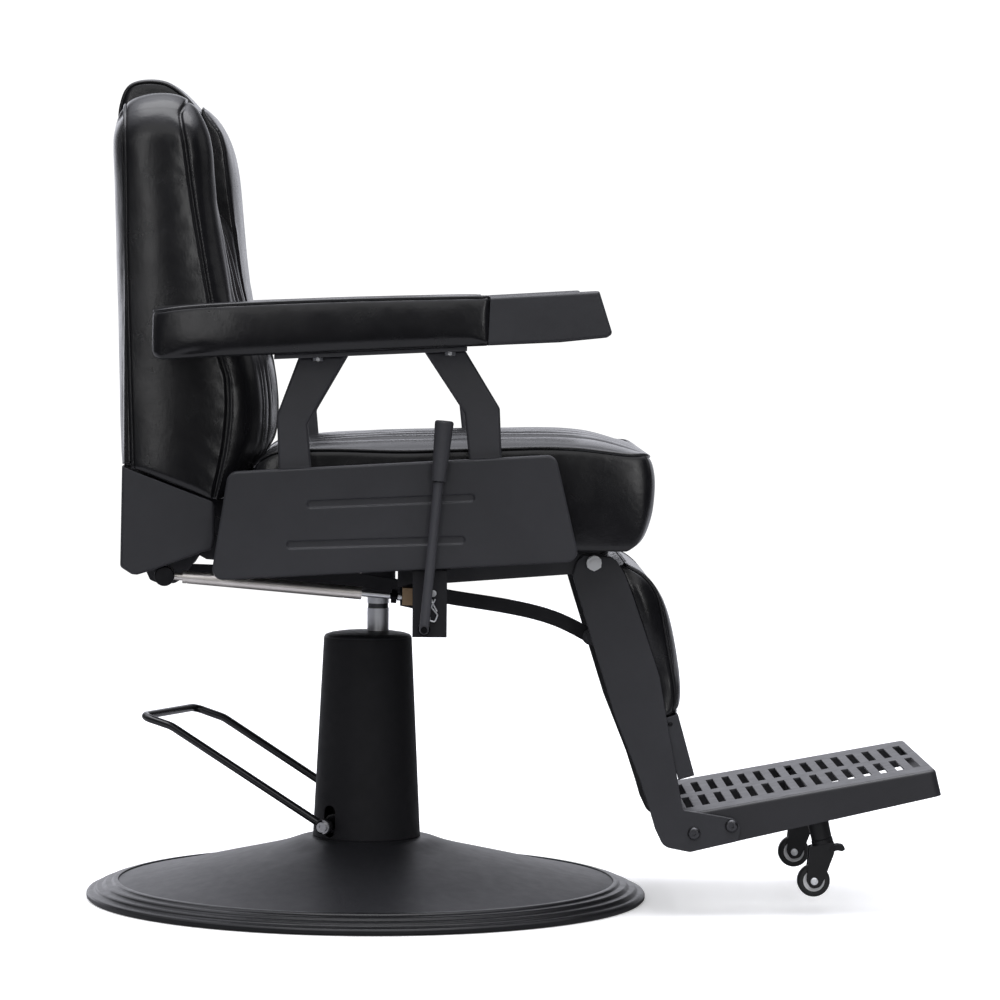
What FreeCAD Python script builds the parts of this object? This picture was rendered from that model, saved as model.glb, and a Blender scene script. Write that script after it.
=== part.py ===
import FreeCAD, Part
import os, math

# Barber chair, millimetres. +X is forward (towards the footrest), +Y the sitter's left, +Z up.
# The origin is the centre of the round base on the floor.

V = FreeCAD.Vector
os.makedirs("parts", exist_ok=True)

# ---------------------------------------------------------------- driving dimensions
BASE_R = 350.0            # outer radius of the rim trim
DOME_R = 310.5            # radius of the pressed dome inside the trim
DOME_TOP = 76.3           # height of the dome at the column
COVER_R0, COVER_R1 = 67.3, 55.0    # column cover, bottom and top radius
COVER_Z0, COVER_Z1 = 76.4, 326.0
PISTON_X, PISTON_R = 12.5, 13.5    # lift and swivel axis
PISTON_TOP = 398.0
RUN = 0.06                # radial clearance of running fits

PEDAL_C = (-25.4, 9.2, 94.5)       # middle of the pedal shaft
PEDAL_YAW = 20.0                   # pedal turned about Z from straight back
PEDAL_HALF = 78.0                  # half the distance between the two eyes

TILT = 0.0542             # slope of the seat frame (tangent), front higher
HINGE = (-214.0, 456.0)   # back hinge axis, X and Z
LOWER = (-242.6, 415.5)   # lower cross shaft of the back
ANCHOR = (49.6, 390.7)    # front end of the recline strut
STRUT_Y = -215.0
FOOT = (274.8, 431.8)     # footrest pivot
LINK = (274.0, 338.0)     # link pivot on the footrest
LINK_Y = -120.0
LEVER = (68.8, 358.6)     # release lever pivot
LEVER_Y = -302.0
LEVER_TOP = (91.2, 607.0)

PANEL_Y = 290.0           # outer face of the side panels
ARM_Y0, ARM_Y1 = 258.0, 338.0      # inner and outer side of the armrests
POST_Y0, POST_Y1 = 257.3, 275.6    # arm posts
RAIL_Y0, RAIL_Y1 = 235.0, 257.0    # seat side rails
SEAT_HALF = 247.0
BACK_HALF = 243.0
LEG_Y0, LEG_Y1 = 176.0, 181.0      # footrest leg plates
CASTER_Y = 140.0
WHEEL_R = 20.0


# ---------------------------------------------------------------- helpers
def box(x0, x1, y0, y1, z0, z1):
    return Part.makeBox(x1 - x0, y1 - y0, z1 - z0, V(x0, y0, z0))


def cyl(p, d, r, h):
    return Part.makeCylinder(r, h, V(*p), V(*d))


def cyl_y(x, z, r, y0, y1):
    return Part.makeCylinder(r, y1 - y0, V(x, y0, z), V(0, 1, 0))


def cyl_z(x, y, r, z0, z1):
    return Part.makeCylinder(r, z1 - z0, V(x, y, z0), V(0, 0, 1))


def hexagon_y(x, z, across, y0, y1):
    r = across / math.sqrt(3.0)
    pts = [(x + r * math.cos(math.radians(60 * i + 30)), z + r * math.sin(math.radians(60 * i + 30))) for i in range(6)]
    return plate(pts, y0, y1)


def loop_edges(pts, radii, place):
    """Closed outline through pts with tangent arcs of the given radii; place maps 2-D to 3-D."""
    n = len(pts)
    if not isinstance(radii, (list, tuple)):
        radii = [radii] * n
    ins, outs, mids = [], [], []
    for i in range(n):
        p = pts[i]
        a = pts[i - 1]
        b = pts[(i + 1) % n]
        da = (a[0] - p[0], a[1] - p[1])
        db = (b[0] - p[0], b[1] - p[1])
        la = math.hypot(*da)
        lb = math.hypot(*db)
        ua = (da[0] / la, da[1] / la)
        ub = (db[0] / lb, db[1] / lb)
        cosv = max(-1.0, min(1.0, ua[0] * ub[0] + ua[1] * ub[1]))
        half = math.acos(cosv) / 2.0
        r = radii[i]
        if r <= 0 or half > math.radians(89.0):
            ins.append(p)
            outs.append(p)
            mids.append(None)
            continue
        t = min(r / math.tan(half), 0.46 * la, 0.46 * lb)
        r = t * math.tan(half)
        bis = (ua[0] + ub[0], ua[1] + ub[1])
        lb2 = math.hypot(*bis)
        bis = (bis[0] / lb2, bis[1] / lb2)
        dist = r / math.sin(half)
        c = (p[0] + bis[0] * dist, p[1] + bis[1] * dist)
        ins.append((p[0] + ua[0] * t, p[1] + ua[1] * t))
        outs.append((p[0] + ub[0] * t, p[1] + ub[1] * t))
        mids.append((c[0] - bis[0] * r, c[1] - bis[1] * r))
    edges = []
    for i in range(n):
        if mids[i] is not None:
            edges.append(Part.Arc(place(ins[i]), place(mids[i]), place(outs[i])).toShape())
        s, e = place(outs[i]), place(ins[(i + 1) % n])
        if s.distanceToPoint(e) > 1e-6:
            edges.append(Part.LineSegment(s, e).toShape())
    return edges


def plate(pts, y0, y1, r=0.0):
    """Flat plate with an XZ outline, from y0 to y1."""
    edges = loop_edges(pts, r, lambda p: V(p[0], y0, p[1]))
    return Part.Face(Part.Wire(edges)).extrude(V(0, y1 - y0, 0))


def revolve(pts):
    w = Part.makePolygon([V(p[0], 0, p[1]) for p in pts] + [V(pts[0][0], 0, pts[0][1])])
    return Part.Face(w).revolve(V(0, 0, 0), V(0, 0, 1), 360)


def mirror(s):
    return s.mirror(V(0, 0, 0), V(0, 1, 0))


def fuse(shapes):
    s = shapes[0].multiFuse(shapes[1:]) if len(shapes) > 1 else shapes[0]
    return s.removeSplitter()


def soften(shape, r, pick):
    edges = [e for e in shape.Edges if pick(e)]
    if not edges:
        return shape
    try:
        s = shape.makeFillet(r, edges)
        return s if s.isValid() and s.Volume > 0 else shape
    except Exception:
        return shape


def on_side(e, ys):
    """Edge that lies in one of the planes y = ys."""
    b = e.BoundBox
    return any(abs(b.YMin - y) < 1e-4 and abs(b.YMax - y) < 1e-4 for y in ys)


def put(name, *shapes):
    solids = []
    for s in shapes:
        solids += s.Solids
    out = solids[0] if len(solids) == 1 else Part.makeCompound(solids)
    ok = all(s.isValid() for s in solids)
    out.exportStep("parts/%s.step" % name)
    print("%-22s solids %2d  volume %10.1f cm3  valid %s" % (name, len(solids), sum(s.Volume for s in solids) / 1000.0, ok))


def rod_path(pts, radii, r):
    """Round bar along straight runs joined by tangent arcs (open path)."""
    edges = []
    prev = pts[0]
    for i in range(1, len(pts) - 1):
        p = pts[i]
        ua = (pts[i - 1] - p).normalize()
        ub = (pts[i + 1] - p).normalize()
        half = math.acos(max(-1, min(1, ua.dot(ub)))) / 2.0
        t = radii[i - 1] / math.tan(half)
        bis = (ua + ub).normalize()
        c = p + bis * (radii[i - 1] / math.sin(half))
        a, b = p + ua * t, p + ub * t
        edges.append(Part.LineSegment(prev, a).toShape())
        edges.append(Part.Arc(a, c - bis * radii[i - 1], b).toShape())
        prev = b
    edges.append(Part.LineSegment(prev, pts[-1]).toShape())
    path = Part.Wire(edges)
    d = (pts[1] - pts[0]).normalize()
    ring = Part.Wire(Part.Circle(pts[0], d, r).toShape())
    return path.makePipeShell([ring], True, True)


def bar_path(pts, width, y0, y1):
    """Flat bar of constant height along an XZ polyline."""
    up, low = [], []
    n = len(pts)
    for i in range(n):
        a = pts[max(i - 1, 0)]
        b = pts[min(i + 1, n - 1)]
        d = (b[0] - a[0], b[1] - a[1])
        m = math.hypot(*d)
        nx, nz = -d[1] / m, d[0] / m
        up.append((pts[i][0] + nx * width / 2, pts[i][1] + nz * width / 2))
        low.append((pts[i][0] - nx * width / 2, pts[i][1] - nz * width / 2))
    edges = []
    for side in (up, low[::-1]):
        c = Part.BSplineCurve()
        c.interpolate([V(p[0], y0, p[1]) for p in side])
        edges.append(c.toShape())
    edges.insert(1, Part.LineSegment(V(up[-1][0], y0, up[-1][1]), V(low[-1][0], y0, low[-1][1])).toShape())
    edges.append(Part.LineSegment(V(low[0][0], y0, low[0][1]), V(up[0][0], y0, up[0][1])).toShape())
    return Part.Face(Part.Wire(edges)).extrude(V(0, y1 - y0, 0))


# ---------------------------------------------------------------- base
put("base_plate", revolve([(0, 0), (300, 0), (300, 9), (80, 11), (64, 30), (0, 30)]))

dome_out = [(DOME_R, 20.5), (296, 23.4), (280, 26.6), (250, 33.0), (200, 44.6), (150, 56.0), (115, 64.4), (98, 69.6), (86, 74.0), (77, 76.0), (66.5, DOME_TOP)]
dome_in = [(66.5, DOME_TOP - 4), (77, 72.0), (86, 70.0), (98, 65.6), (115, 60.4), (150, 52.0), (200, 40.6), (250, 29.0), (280, 22.6), (296, 19.4), (306.5, 16.5)]
co = Part.BSplineCurve()
co.interpolate([V(r, 0, z) for r, z in dome_out])
ci = Part.BSplineCurve()
ci.interpolate([V(r, 0, z) for r, z in dome_in])
dome_wire = Part.Wire([
    Part.LineSegment(V(DOME_R, 0, 2), V(DOME_R, 0, 20.5)).toShape(), co.toShape(),
    Part.LineSegment(V(66.5, 0, DOME_TOP), V(66.5, 0, DOME_TOP - 4)).toShape(), ci.toShape(),
    Part.LineSegment(V(306.5, 0, 16.5), V(306.5, 0, 2)).toShape(),
    Part.LineSegment(V(306.5, 0, 2), V(DOME_R, 0, 2)).toShape()])
put("base_dome", Part.Face(dome_wire).revolve(V(0, 0, 0), V(0, 0, 1), 360))

put("base_rim", revolve([(DOME_R, 0), (BASE_R - 2, 0), (BASE_R, 2), (BASE_R, 6), (BASE_R - 1.5, 8.2), (BASE_R - 4, 9.2), (341, 9.8),
                         (339.6, 11.0), (338.8, 12.8), (337, 14.0), (330.5, 14.6), (329, 15.6), (328, 17.4), (326, 18.6), (319, 19.2),
                         (317.5, 20.2), (316.4, 21.6), (314, 22.2), (DOME_R, 22.2)]))

# ---------------------------------------------------------------- hydraulic pump in the column
yaw = math.radians(PEDAL_YAW)
EA = V(math.sin(yaw), math.cos(yaw), 0)          # along the pedal shaft
ED = V(-math.cos(yaw), math.sin(yaw), 0)         # along the pedal, away from the column
PC = V(*PEDAL_C)


def along(s, t, z):
    return PC + ED * s + EA * t + V(0, 0, z)


def shaft_cyl(r, t0, t1):
    return Part.makeCylinder(r, t1 - t0, along(0, t0, 0), EA)


body = fuse([cyl_z(0, 0, 64, 30.2, 40), cyl_z(0, 0, 42, 39.9, 317), shaft_cyl(12, -46, 46)])
body = body.cut(cyl_z(PISTON_X, 0, PISTON_R + RUN, 50, 330))
body = body.cut(shaft_cyl(7 + RUN, -60, 60))
body = body.cut(shaft_cyl(10, 36, 60)).cut(shaft_cyl(10, -60, -36))
plunger_at = along(0, 0, 0)
body = body.cut(cyl_z(plunger_at.x, plunger_at.y, 5 + RUN, 94, 150))
put("pump_body", body)

bushes = [shaft_cyl(10, 36, 46).cut(shaft_cyl(7 + RUN, 30, 50)), shaft_cyl(10, -46, -36).cut(shaft_cyl(7 + RUN, -50, -30))]
put("pedal_bushes", *bushes)
put("pump_plunger", cyl_z(plunger_at.x, plunger_at.y, 5, 102.2, 136))

bolts = []
for k in range(4):
    a = math.radians(45 + 90 * k)
    p = (54 * math.cos(a), 54 * math.sin(a))
    bolts.append(Part.Face(Part.makePolygon([V(p[0] + 7.5 * math.cos(math.radians(60 * i)), p[1] + 7.5 * math.sin(math.radians(60 * i)), 40) for i in range(7)])).extrude(V(0, 0, 6)))
put("pump_bolts", *bolts)

cover = Part.makeCone(COVER_R0, COVER_R1, COVER_Z1 - COVER_Z0, V(0, 0, COVER_Z0), V(0, 0, 1))
cover = cover.cut(Part.makeCone(COVER_R0 - 2.5, COVER_R1 - 2.5, COVER_Z1 - COVER_Z0, V(0, 0, COVER_Z0), V(0, 0, 1)))
slot_low, slot_high, slot_w = 85.5 - 94.5, 112.0 - 94.5, 9.0
for sgn in (-1, 1):
    base_pt = along(0, sgn * 45, 0)
    d = EA * sgn
    slot = Part.makeCylinder(slot_w, 40, base_pt + V(0, 0, slot_low + 2.5), d)
    slot = slot.fuse(Part.makeCylinder(slot_w, 40, base_pt + V(0, 0, slot_high - 2.5), d))
    q = [base_pt + ED * slot_w + V(0, 0, slot_low + 2.5), base_pt - ED * slot_w + V(0, 0, slot_low + 2.5),
         base_pt - ED * slot_w + V(0, 0, slot_high - 2.5), base_pt + ED * slot_w + V(0, 0, slot_high - 2.5)]
    slot = slot.fuse(Part.Face(Part.makePolygon(q + [q[0]])).extrude(d * 40))
    cover = cover.cut(slot)
put("pump_cover", cover)

cap = revolve([(0, 322.5), (51.9, 322.5), (51.9, 326.05), (COVER_R1 - 0.3, 326.05), (COVER_R1 - 0.9, 327.8), (52.5, 329.4), (47, 331.2), (36, 333.0), (20, 334.2), (0, 334.6)])
cap = cap.cut(cyl_z(PISTON_X, 0, PISTON_R + 0.5, 315, 340))
put("pump_cap", cap)

# ---------------------------------------------------------------- foot pedal
loop_pts = [along(4, -PEDAL_HALF, 2.3), along(206, -PEDAL_HALF, 117), along(246, -PEDAL_HALF, 128),
            along(240, PEDAL_HALF, 126), along(199, PEDAL_HALF, 114), along(4, PEDAL_HALF, 2.3)]
loop = rod_path(loop_pts, [40, 13, 13, 40], 5.0)
loop = fuse([loop, shaft_cyl(9.6, -PEDAL_HALF - 5, -PEDAL_HALF + 5), shaft_cyl(9.6, PEDAL_HALF - 5, PEDAL_HALF + 5)])
loop = loop.cut(shaft_cyl(7, -PEDAL_HALF - 20, -PEDAL_HALF + 20)).cut(shaft_cyl(7, PEDAL_HALF - 20, PEDAL_HALF + 20))
put("pedal_loop", loop)
pb = []
for sgn in (-1, 1):
    t0 = PEDAL_HALF + 5
    head = Part.makeCylinder(8.6, 1.6, along(0, sgn * t0, 0), EA * sgn)
    head = head.fuse(Part.makeCylinder(6.2, 4.0, along(0, sgn * (t0 + 1.6), 0), EA * sgn)).removeSplitter()
    head = head.cut(Part.makeCylinder(3.0, 2.5, along(0, sgn * (t0 + 3.4), 0), EA * sgn))
    pb.append(head)
put("pedal_shaft", shaft_cyl(7, -PEDAL_HALF - 5, PEDAL_HALF + 5), *pb)

# ---------------------------------------------------------------- lift piston
rod = cyl_z(PISTON_X, 0, PISTON_R, 60, PISTON_TOP)
groove = cyl_z(PISTON_X, 0, 20, 362.5, 368.5).cut(cyl_z(PISTON_X, 0, PISTON_R - 0.8, 362.5, 368.5))
put("piston_rod", rod.cut(groove))

# ---------------------------------------------------------------- swivel socket and seat frame
socket = fuse([Part.makeCone(19.5, 21.5, 8, V(PISTON_X, 0, 377), V(0, 0, 1)), cyl_z(PISTON_X, 0, 21.5, 385, 424),
               box(-72, 97, -75, 75, 424, 432)])
socket = socket.cut(cyl_z(PISTON_X, 0, PISTON_R + RUN, 370, PISTON_TOP + 0.3))
put("swivel_socket", socket)
sb = []
for x in (-60, 85):
    for y in (-60, 60):
        sb.append(Part.Face(Part.makePolygon([V(x + 7.5 * math.cos(math.radians(60 * i)), y + 7.5 * math.sin(math.radians(60 * i)), 418) for i in range(7)])).extrude(V(0, 0, 6)))


def rail_z(x, base=432.0):
    return base + TILT * x


rails = [plate([(-176, rail_z(-176)), (226, rail_z(226)), (226, rail_z(226, 466)), (-176, rail_z(-176, 466))], RAIL_Y0, RAIL_Y1)]
rails.append(mirror(rails[0]))
bars = [box(-172, -147, -RAIL_Y0, RAIL_Y0, 428, 452), box(-75, -45, -RAIL_Y0, RAIL_Y0, 432, 456),
        box(70, 100, -RAIL_Y0, RAIL_Y0, 432, 460), box(200, 225, -RAIL_Y0, RAIL_Y0, 443, 467)]
put("seat_frame", *(rails + bars))
put("seat_board", plate([(-138, rail_z(-138, 466.0)), (222, rail_z(222, 466.0)), (222, rail_z(222, 478)), (-138, rail_z(-138, 478))], -246, 246))

hang_pts = [(37, 431.9), (37, 401.0), (249.8, 417.6), (262, 419.6), (FOOT[0], FOOT[1] - 13), (FOOT[0], FOOT[1] + 11.5), (262, 442.9), (110, 442.9), (110, 431.9)]
hang = fuse([plate(hang_pts, 166, 174), cyl_y(FOOT[0], FOOT[1], 13, 166, 174)])
hang = hang.cut(box(180, 300, 160, 180, 443.0, 460)).cut(cyl_y(FOOT[0], FOOT[1], 6 + RUN, 150, 190))
hang = hang.cut(box(60, 110, 160, 180, 432.0, 460))
put("footrest_hangers", hang, mirror(hang))

seat_pts = [(-138, rail_z(-138, 478.3)), (226, rail_z(226, 478.3)), (227.5, 448.0), (298, 449.5), (314, 456), (329, 473), (336.5, 494), (339.6, 518), (339.6, 541),
            (337, 556), (329, 570), (312, 581), (285, 589), (240, 592.0), (158, 591), (38, 585), (-60, 579), (-106, 570), (-128, 558), (-138, 543)]
put("seat_cushion", plate(seat_pts, -SEAT_HALF, SEAT_HALF))

# ---------------------------------------------------------------- side panels
panel_pts = [(-164.7, 543.5), (223.8, 566.6), (253.5, 439.7), (-185.2, 414.0)]


def inset(pts, d):
    """Convex outline moved inwards by d."""
    n = len(pts)
    cx = sum(p[0] for p in pts) / n
    cz = sum(p[1] for p in pts) / n
    lines = []
    for i in range(n):
        a, b = pts[i], pts[(i + 1) % n]
        dx, dz = b[0] - a[0], b[1] - a[1]
        m = math.hypot(dx, dz)
        nx, nz = -dz / m, dx / m
        if (cx - a[0]) * nx + (cz - a[1]) * nz < 0:
            nx, nz = -nx, -nz
        lines.append(((a[0] + nx * d, a[1] + nz * d), (dx / m, dz / m)))
    out = []
    for i in range(n):
        (p, u), (q, w) = lines[i - 1], lines[i]
        den = u[0] * w[1] - u[1] * w[0]
        t = ((q[0] - p[0]) * w[1] - (q[1] - p[1]) * w[0]) / den
        out.append((p[0] + u[0] * t, p[1] + u[1] * t))
    return out


panel = plate(panel_pts, -PANEL_Y, -PANEL_Y + 14, 13)
panel = soften(panel, 3.0, lambda e: on_side(e, [-PANEL_Y]))
panel = panel.cut(plate(inset(panel_pts, 2.2), -PANEL_Y + 2.2, -PANEL_Y + 20, 11))
for (x0, z0), (x1, z1) in (((-66, 505.9), (123, 515.0)), ((-90, 457.4), (112, 464.9))):
    d = (x1 - x0, z1 - z0)
    m = math.hypot(*d)
    ux, uz = -d[1] / m, d[0] / m

    def strip(half, y0, y1):
        nx, nz = ux * half, uz * half
        return fuse([plate([(x0 + nx, z0 + nz), (x1 + nx, z1 + nz), (x1 - nx, z1 - nz), (x0 - nx, z0 - nz)], y0, y1), cyl_y(x0, z0, half, y0, y1), cyl_y(x1, z1, half, y0, y1)])

    # bead pressed inwards: a boss behind the skin, a round-bottomed trough in front
    boss = soften(strip(8.2, -PANEL_Y + 1.2, -PANEL_Y + 4.4), 1.6, lambda e: on_side(e, [-PANEL_Y + 4.4]))
    trough = soften(strip(4.6, -PANEL_Y - 2.0, -PANEL_Y + 2.0), 1.7, lambda e: on_side(e, [-PANEL_Y + 2.0]))
    panel = fuse([panel, boss]).cut(trough)
    panel = soften(panel, 1.6, lambda e: on_side(e, [-PANEL_Y]) and abs((e.CenterOfMass.x - x0) * ux + (e.CenterOfMass.z - z0) * uz) < 6.0 and x0 - 8 < e.CenterOfMass.x < x1 + 8)
put("side_panel_right", panel)
put("side_panel_left", mirror(panel))

# ---------------------------------------------------------------- arm posts, plates, pads and caps


def pad_z(x):
    return 676.2 + 0.0511 * (x + 240.0)


PLATE_T = 5.0
rear_post = [(-82.5, pad_z(-82.5) - PLATE_T), (-107.8, 611.0), (-105.3, 547.0), (-101, 447), (-62.5, 447), (-66.7, 550.2), (-71.3, 601.5), (-25.0, pad_z(-25) - PLATE_T)]
front_post = [(67.0, pad_z(67) - PLATE_T), (115.0, 614.8), (120.7, 562.3), (124, 462), (163, 462), (159.7, 564.5), (157.2, 621.1), (115.5, pad_z(115.5) - PLATE_T)]
posts = []
for pts in (rear_post, front_post):
    p = plate(pts, -POST_Y1, -POST_Y0, [0, 9, 20, 0, 0, 20, 9, 0])
    p = soften(p, 3.5, lambda e: on_side(e, [-POST_Y1, -POST_Y0]) and e.BoundBox.ZMax - e.BoundBox.ZMin > 1.0 and e.BoundBox.ZMin > 440)
    posts.append(p)

arm_plate = plate([(-110, pad_z(-110)), (117, pad_z(117)), (117, pad_z(117) - PLATE_T), (-110, pad_z(-110) - PLATE_T)], -322, -POST_Y0 - 0.7)
posts.append(arm_plate)
put("arm_frame_right", *posts)
put("arm_frame_left", *[mirror(p) for p in posts])

pad_pts = [(-252.5, 735.5), (-250.5, 688), (-240, 676.3), (141, 695.8), (143.2, 755.4), (37.5, 754.3), (-138, 747.3), (-240, 741.8)]
pad = plate(pad_pts, -ARM_Y1, -ARM_Y0, [8, 10, 8, 0, 0, 0, 0, 8])
put("armrest_pad_right", pad)
put("armrest_pad_left", mirror(pad))

cap_pts = [(143.6, 753.4), (271.4, 761.4), (287.5, 711.1), (281, 706.6), (225.6, 700.6), (141.4, 696.2)]
acap = plate(cap_pts, -ARM_Y1, -ARM_Y0, [0, 3, 5, 8, 30, 0])
acap = soften(acap, 4.0, lambda e: on_side(e, [-ARM_Y1, -ARM_Y0]) and e.BoundBox.XMax > 150)
put("armrest_cap_right", acap)
put("armrest_cap_left", mirror(acap))

ab = []
for x in (-59.0, 97.0):
    z = pad_z(x) - PLATE_T
    b = cyl((x, -292, z - 4.7), (0, 0, 1), 6.5, 3.9)
    ab += [b, mirror(b)]
ab = [s.fuse(cyl((s.CenterOfMass.x, s.CenterOfMass.y, s.CenterOfMass.z), (0, 0, 1), 3.5, 2.2)).removeSplitter() for s in ab]
put("seat_bolts", *(sb + ab))

# ---------------------------------------------------------------- back hinge
hb = fuse([plate([(-172, 452), (-172, 429), (-196, 431), (-214, 441), (-214, 471), (-196, 468)], 140, 148), cyl_y(HINGE[0], HINGE[1], 15, 140, 148)])
hb = hb.cut(cyl_y(HINGE[0], HINGE[1], 6 + RUN, 130, 160))
put("back_hinge_brackets", hb, mirror(hb))

arm_pts = [(-278.8, 516), (-278.8, 440), (-264, 406), (-254, 402), (-234, 402), (-224, 408), (-203, 440), (-199, 456), (-204, 470), (-232, 492)]
arm = plate(arm_pts, 150, 158, [0, 0, 6, 10, 10, 6, 12, 14, 12, 8])
arm = arm.cut(cyl_y(HINGE[0], HINGE[1], 6, 140, 170)).cut(cyl_y(LOWER[0], LOWER[1], 6, 140, 170))
put("back_arms", arm, mirror(arm))
hp = cyl_y(HINGE[0], HINGE[1], 6, 137, 161)
lower = fuse([cyl_y(LOWER[0], LOWER[1], 6, -234, 163), cyl_y(LOWER[0], LOWER[1], 12, -234, -224.5)])
put("back_pins", soften(lower, 2.0, lambda e: on_side(e, [-234])), hp, mirror(hp))

# ---------------------------------------------------------------- backrest
skirt_pts = [(-293.2, 547.5), (-278.4, 541.2), (-185.5, 506.0), (-182.0, 500), (-181.5, 462), (-184, 448.7), (-195.8, 445.6), (-250.6, 424.9), (-274.4, 417.5), (-281, 418.1), (-294.9, 427)]
skirt = plate(skirt_pts, -245, 245, [0, 4, 4, 0, 6, 6, 20, 0, 6, 6, 6])
skirt = soften(skirt, 4.0, lambda e: on_side(e, [-245, 245]) and e.BoundBox.XMax < -285)
skirt = skirt.cut(plate([(-290.6, 560), (-150, 560), (-150, 400), (-291.6, 400)], -241.5, 241.5))
put("back_skirt", skirt)

board_pts = [(-290.4, 437), (-290.0, 546), (-292.9, 548.5), (-297.5, 711.6), (-300, 785.4), (-302.3, 867.2), (-305.5, 948), (-304, 966), (-297, 979), (-286, 985.2),
             (-285.5, 975), (-289.8, 948), (-288.3, 867.2), (-283.7, 711.6), (-279, 548.5), (-278.8, 437)]
board = plate(board_pts, -BACK_HALF + 1, BACK_HALF - 1)
board = board.cut(box(-330, -250, -300, -241.3, 400, 548)).cut(box(-330, -250, 241.3, 300, 400, 548))
board = board.cut(box(-330, -200, -137, 137, 884, 1020))
put("back_panel", board)

cush_pts = [(-278.7, 548.5), (-277.8, 543.5), (-186, 508.4), (-170, 508), (-156, 516), (-146, 530), (-141, 545), (-137, 560), (-133, 580), (-130, 608), (-133, 640), (-140, 668),
            (-160.5, 745), (-166, 772), (-172, 803), (-178, 836), (-182, 869), (-184.5, 910), (-190, 941), (-200, 966), (-214, 982), (-228, 989), (-246.5, 991.3), (-273, 988), (-285.6, 985.4),
            (-285.2, 975), (-289.5, 948), (-288.0, 867.2), (-283.4, 711.6)]
cush = plate(cush_pts, -BACK_HALF, BACK_HALF)
lumbar_pts = [(-215, 592), (-134, 592), (-122.5, 614), (-127.5, 675), (-151.5, 747), (-163.5, 841), (-167.0, 884), (-174.0, 931), (-187, 963.5), (-199, 979), (-215, 980)]
cush = cush.fuse(plate(lumbar_pts, -118, 118)).removeSplitter()
cush = cush.cut(box(-330, -206.5, -137, 137, 884, 1020))
cush = cush.cut(plate([(-294, 690), (-262, 690), (-268, 890), (-300, 890)], -46, 46))
put("back_cushion", cush)

# headrest: a cushion in the pocket between the wings, behind the middle pad, on a flat bar that slides behind the back cushion
SLOPE = -0.031


def bar_x(z):
    return -280.0 + SLOPE * (z - 720.0)


hr_bar = plate([(bar_x(705) - 0.0, 705), (bar_x(705) + 6, 705), (bar_x(960) + 6, 960), (bar_x(960), 960)], -35, 35)
put("headrest_bar", hr_bar)
guide = plate([(bar_x(800) - 2.3, 800), (bar_x(800) + 10, 800), (bar_x(872) + 10, 872), (bar_x(872) - 2.3, 872)], -42, 42)
guide = guide.cut(plate([(bar_x(790) - 0.3, 790), (bar_x(790) + 6.3, 790), (bar_x(880) + 6.3, 880), (bar_x(880) - 0.3, 880)], -35.3, 35.3))
guide = guide.cut(board)
put("headrest_guide", guide)
head_pts = [(-302, 887), (-305.6, 960), (-305.6, 984), (-301, 999), (-287, 1009), (-265.5, 1012.6), (-244.7, 1009), (-228, 999.6), (-215, 987), (-208.6, 974), (-208.6, 887)]
head = plate(head_pts, -134.5, 134.5)
put("headrest_cushion", head.cut(hr_bar))

# ---------------------------------------------------------------- recline strut
sd = V(ANCHOR[0] - LOWER[0], 0, ANCHOR[1] - LOWER[1])
STRUT_L = sd.Length
sd = sd.normalize()
G1 = V(LOWER[0], STRUT_Y, LOWER[1])


def strut_cyl(r, a, b):
    return Part.makeCylinder(r, b - a, G1 + sd * a, sd)


tube = fuse([strut_cyl(7.6, 21.5, 237.5), strut_cyl(4.5, 8, 22), cyl_y(LOWER[0], LOWER[1], 11.5, STRUT_Y - 6, STRUT_Y + 6)])
tube = tube.cut(strut_cyl(5.3, 34, 219)).cut(strut_cyl(3.6 + RUN, 210, 240))
tube = tube.cut(cyl_y(LOWER[0], LOWER[1], 6 + RUN, STRUT_Y - 20, STRUT_Y + 20))
tube = tube.cut(strut_cyl(20, 215.2, 216.2).cut(strut_cyl(6.9, 215.2, 216.2)))
tube = tube.cut(strut_cyl(20, 26.2, 27.0).cut(strut_cyl(6.9, 26.2, 27.0)))
put("strut_cylinder", tube)
nut = Part.Face(Part.makePolygon([G1 + sd * 272.9 + V(0, 1, 0) * (9.2 * math.cos(math.radians(60 * i))) + sd.cross(V(0, 1, 0)) * (9.2 * math.sin(math.radians(60 * i))) for i in range(7)])).extrude(sd * 7.0)
put("strut_rod", fuse([strut_cyl(3.6, 100, 286), strut_cyl(5.1, 100, 108), strut_cyl(4.8, 280.2, 284.6)]), nut.cut(strut_cyl(3.6, 260, 290)))
blk = box(ANCHOR[0] - 7.0, ANCHOR[0] + 6.2, STRUT_Y - 7.5, STRUT_Y + 7.5, ANCHOR[1] - 9.0, ANCHOR[1] + 12.4)
blk = soften(blk, 1.0, lambda e: on_side(e, [STRUT_Y - 7.5]))
# blind slot, open to the far side
hole = fuse([cyl_y(ANCHOR[0], ANCHOR[1] + 2.1, 4.4, STRUT_Y - 4.0, STRUT_Y + 20), cyl_y(ANCHOR[0], ANCHOR[1] - 2.1, 4.4, STRUT_Y - 4.0, STRUT_Y + 20),
             box(ANCHOR[0] - 4.4, ANCHOR[0] + 4.4, STRUT_Y - 4.0, STRUT_Y + 20, ANCHOR[1] - 2.1, ANCHOR[1] + 2.1)])
put("strut_block", blk.cut(hole).cut(strut_cyl(4.8, 270, 284.6)).cut(strut_cyl(3.6, 270, 286)))

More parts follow.
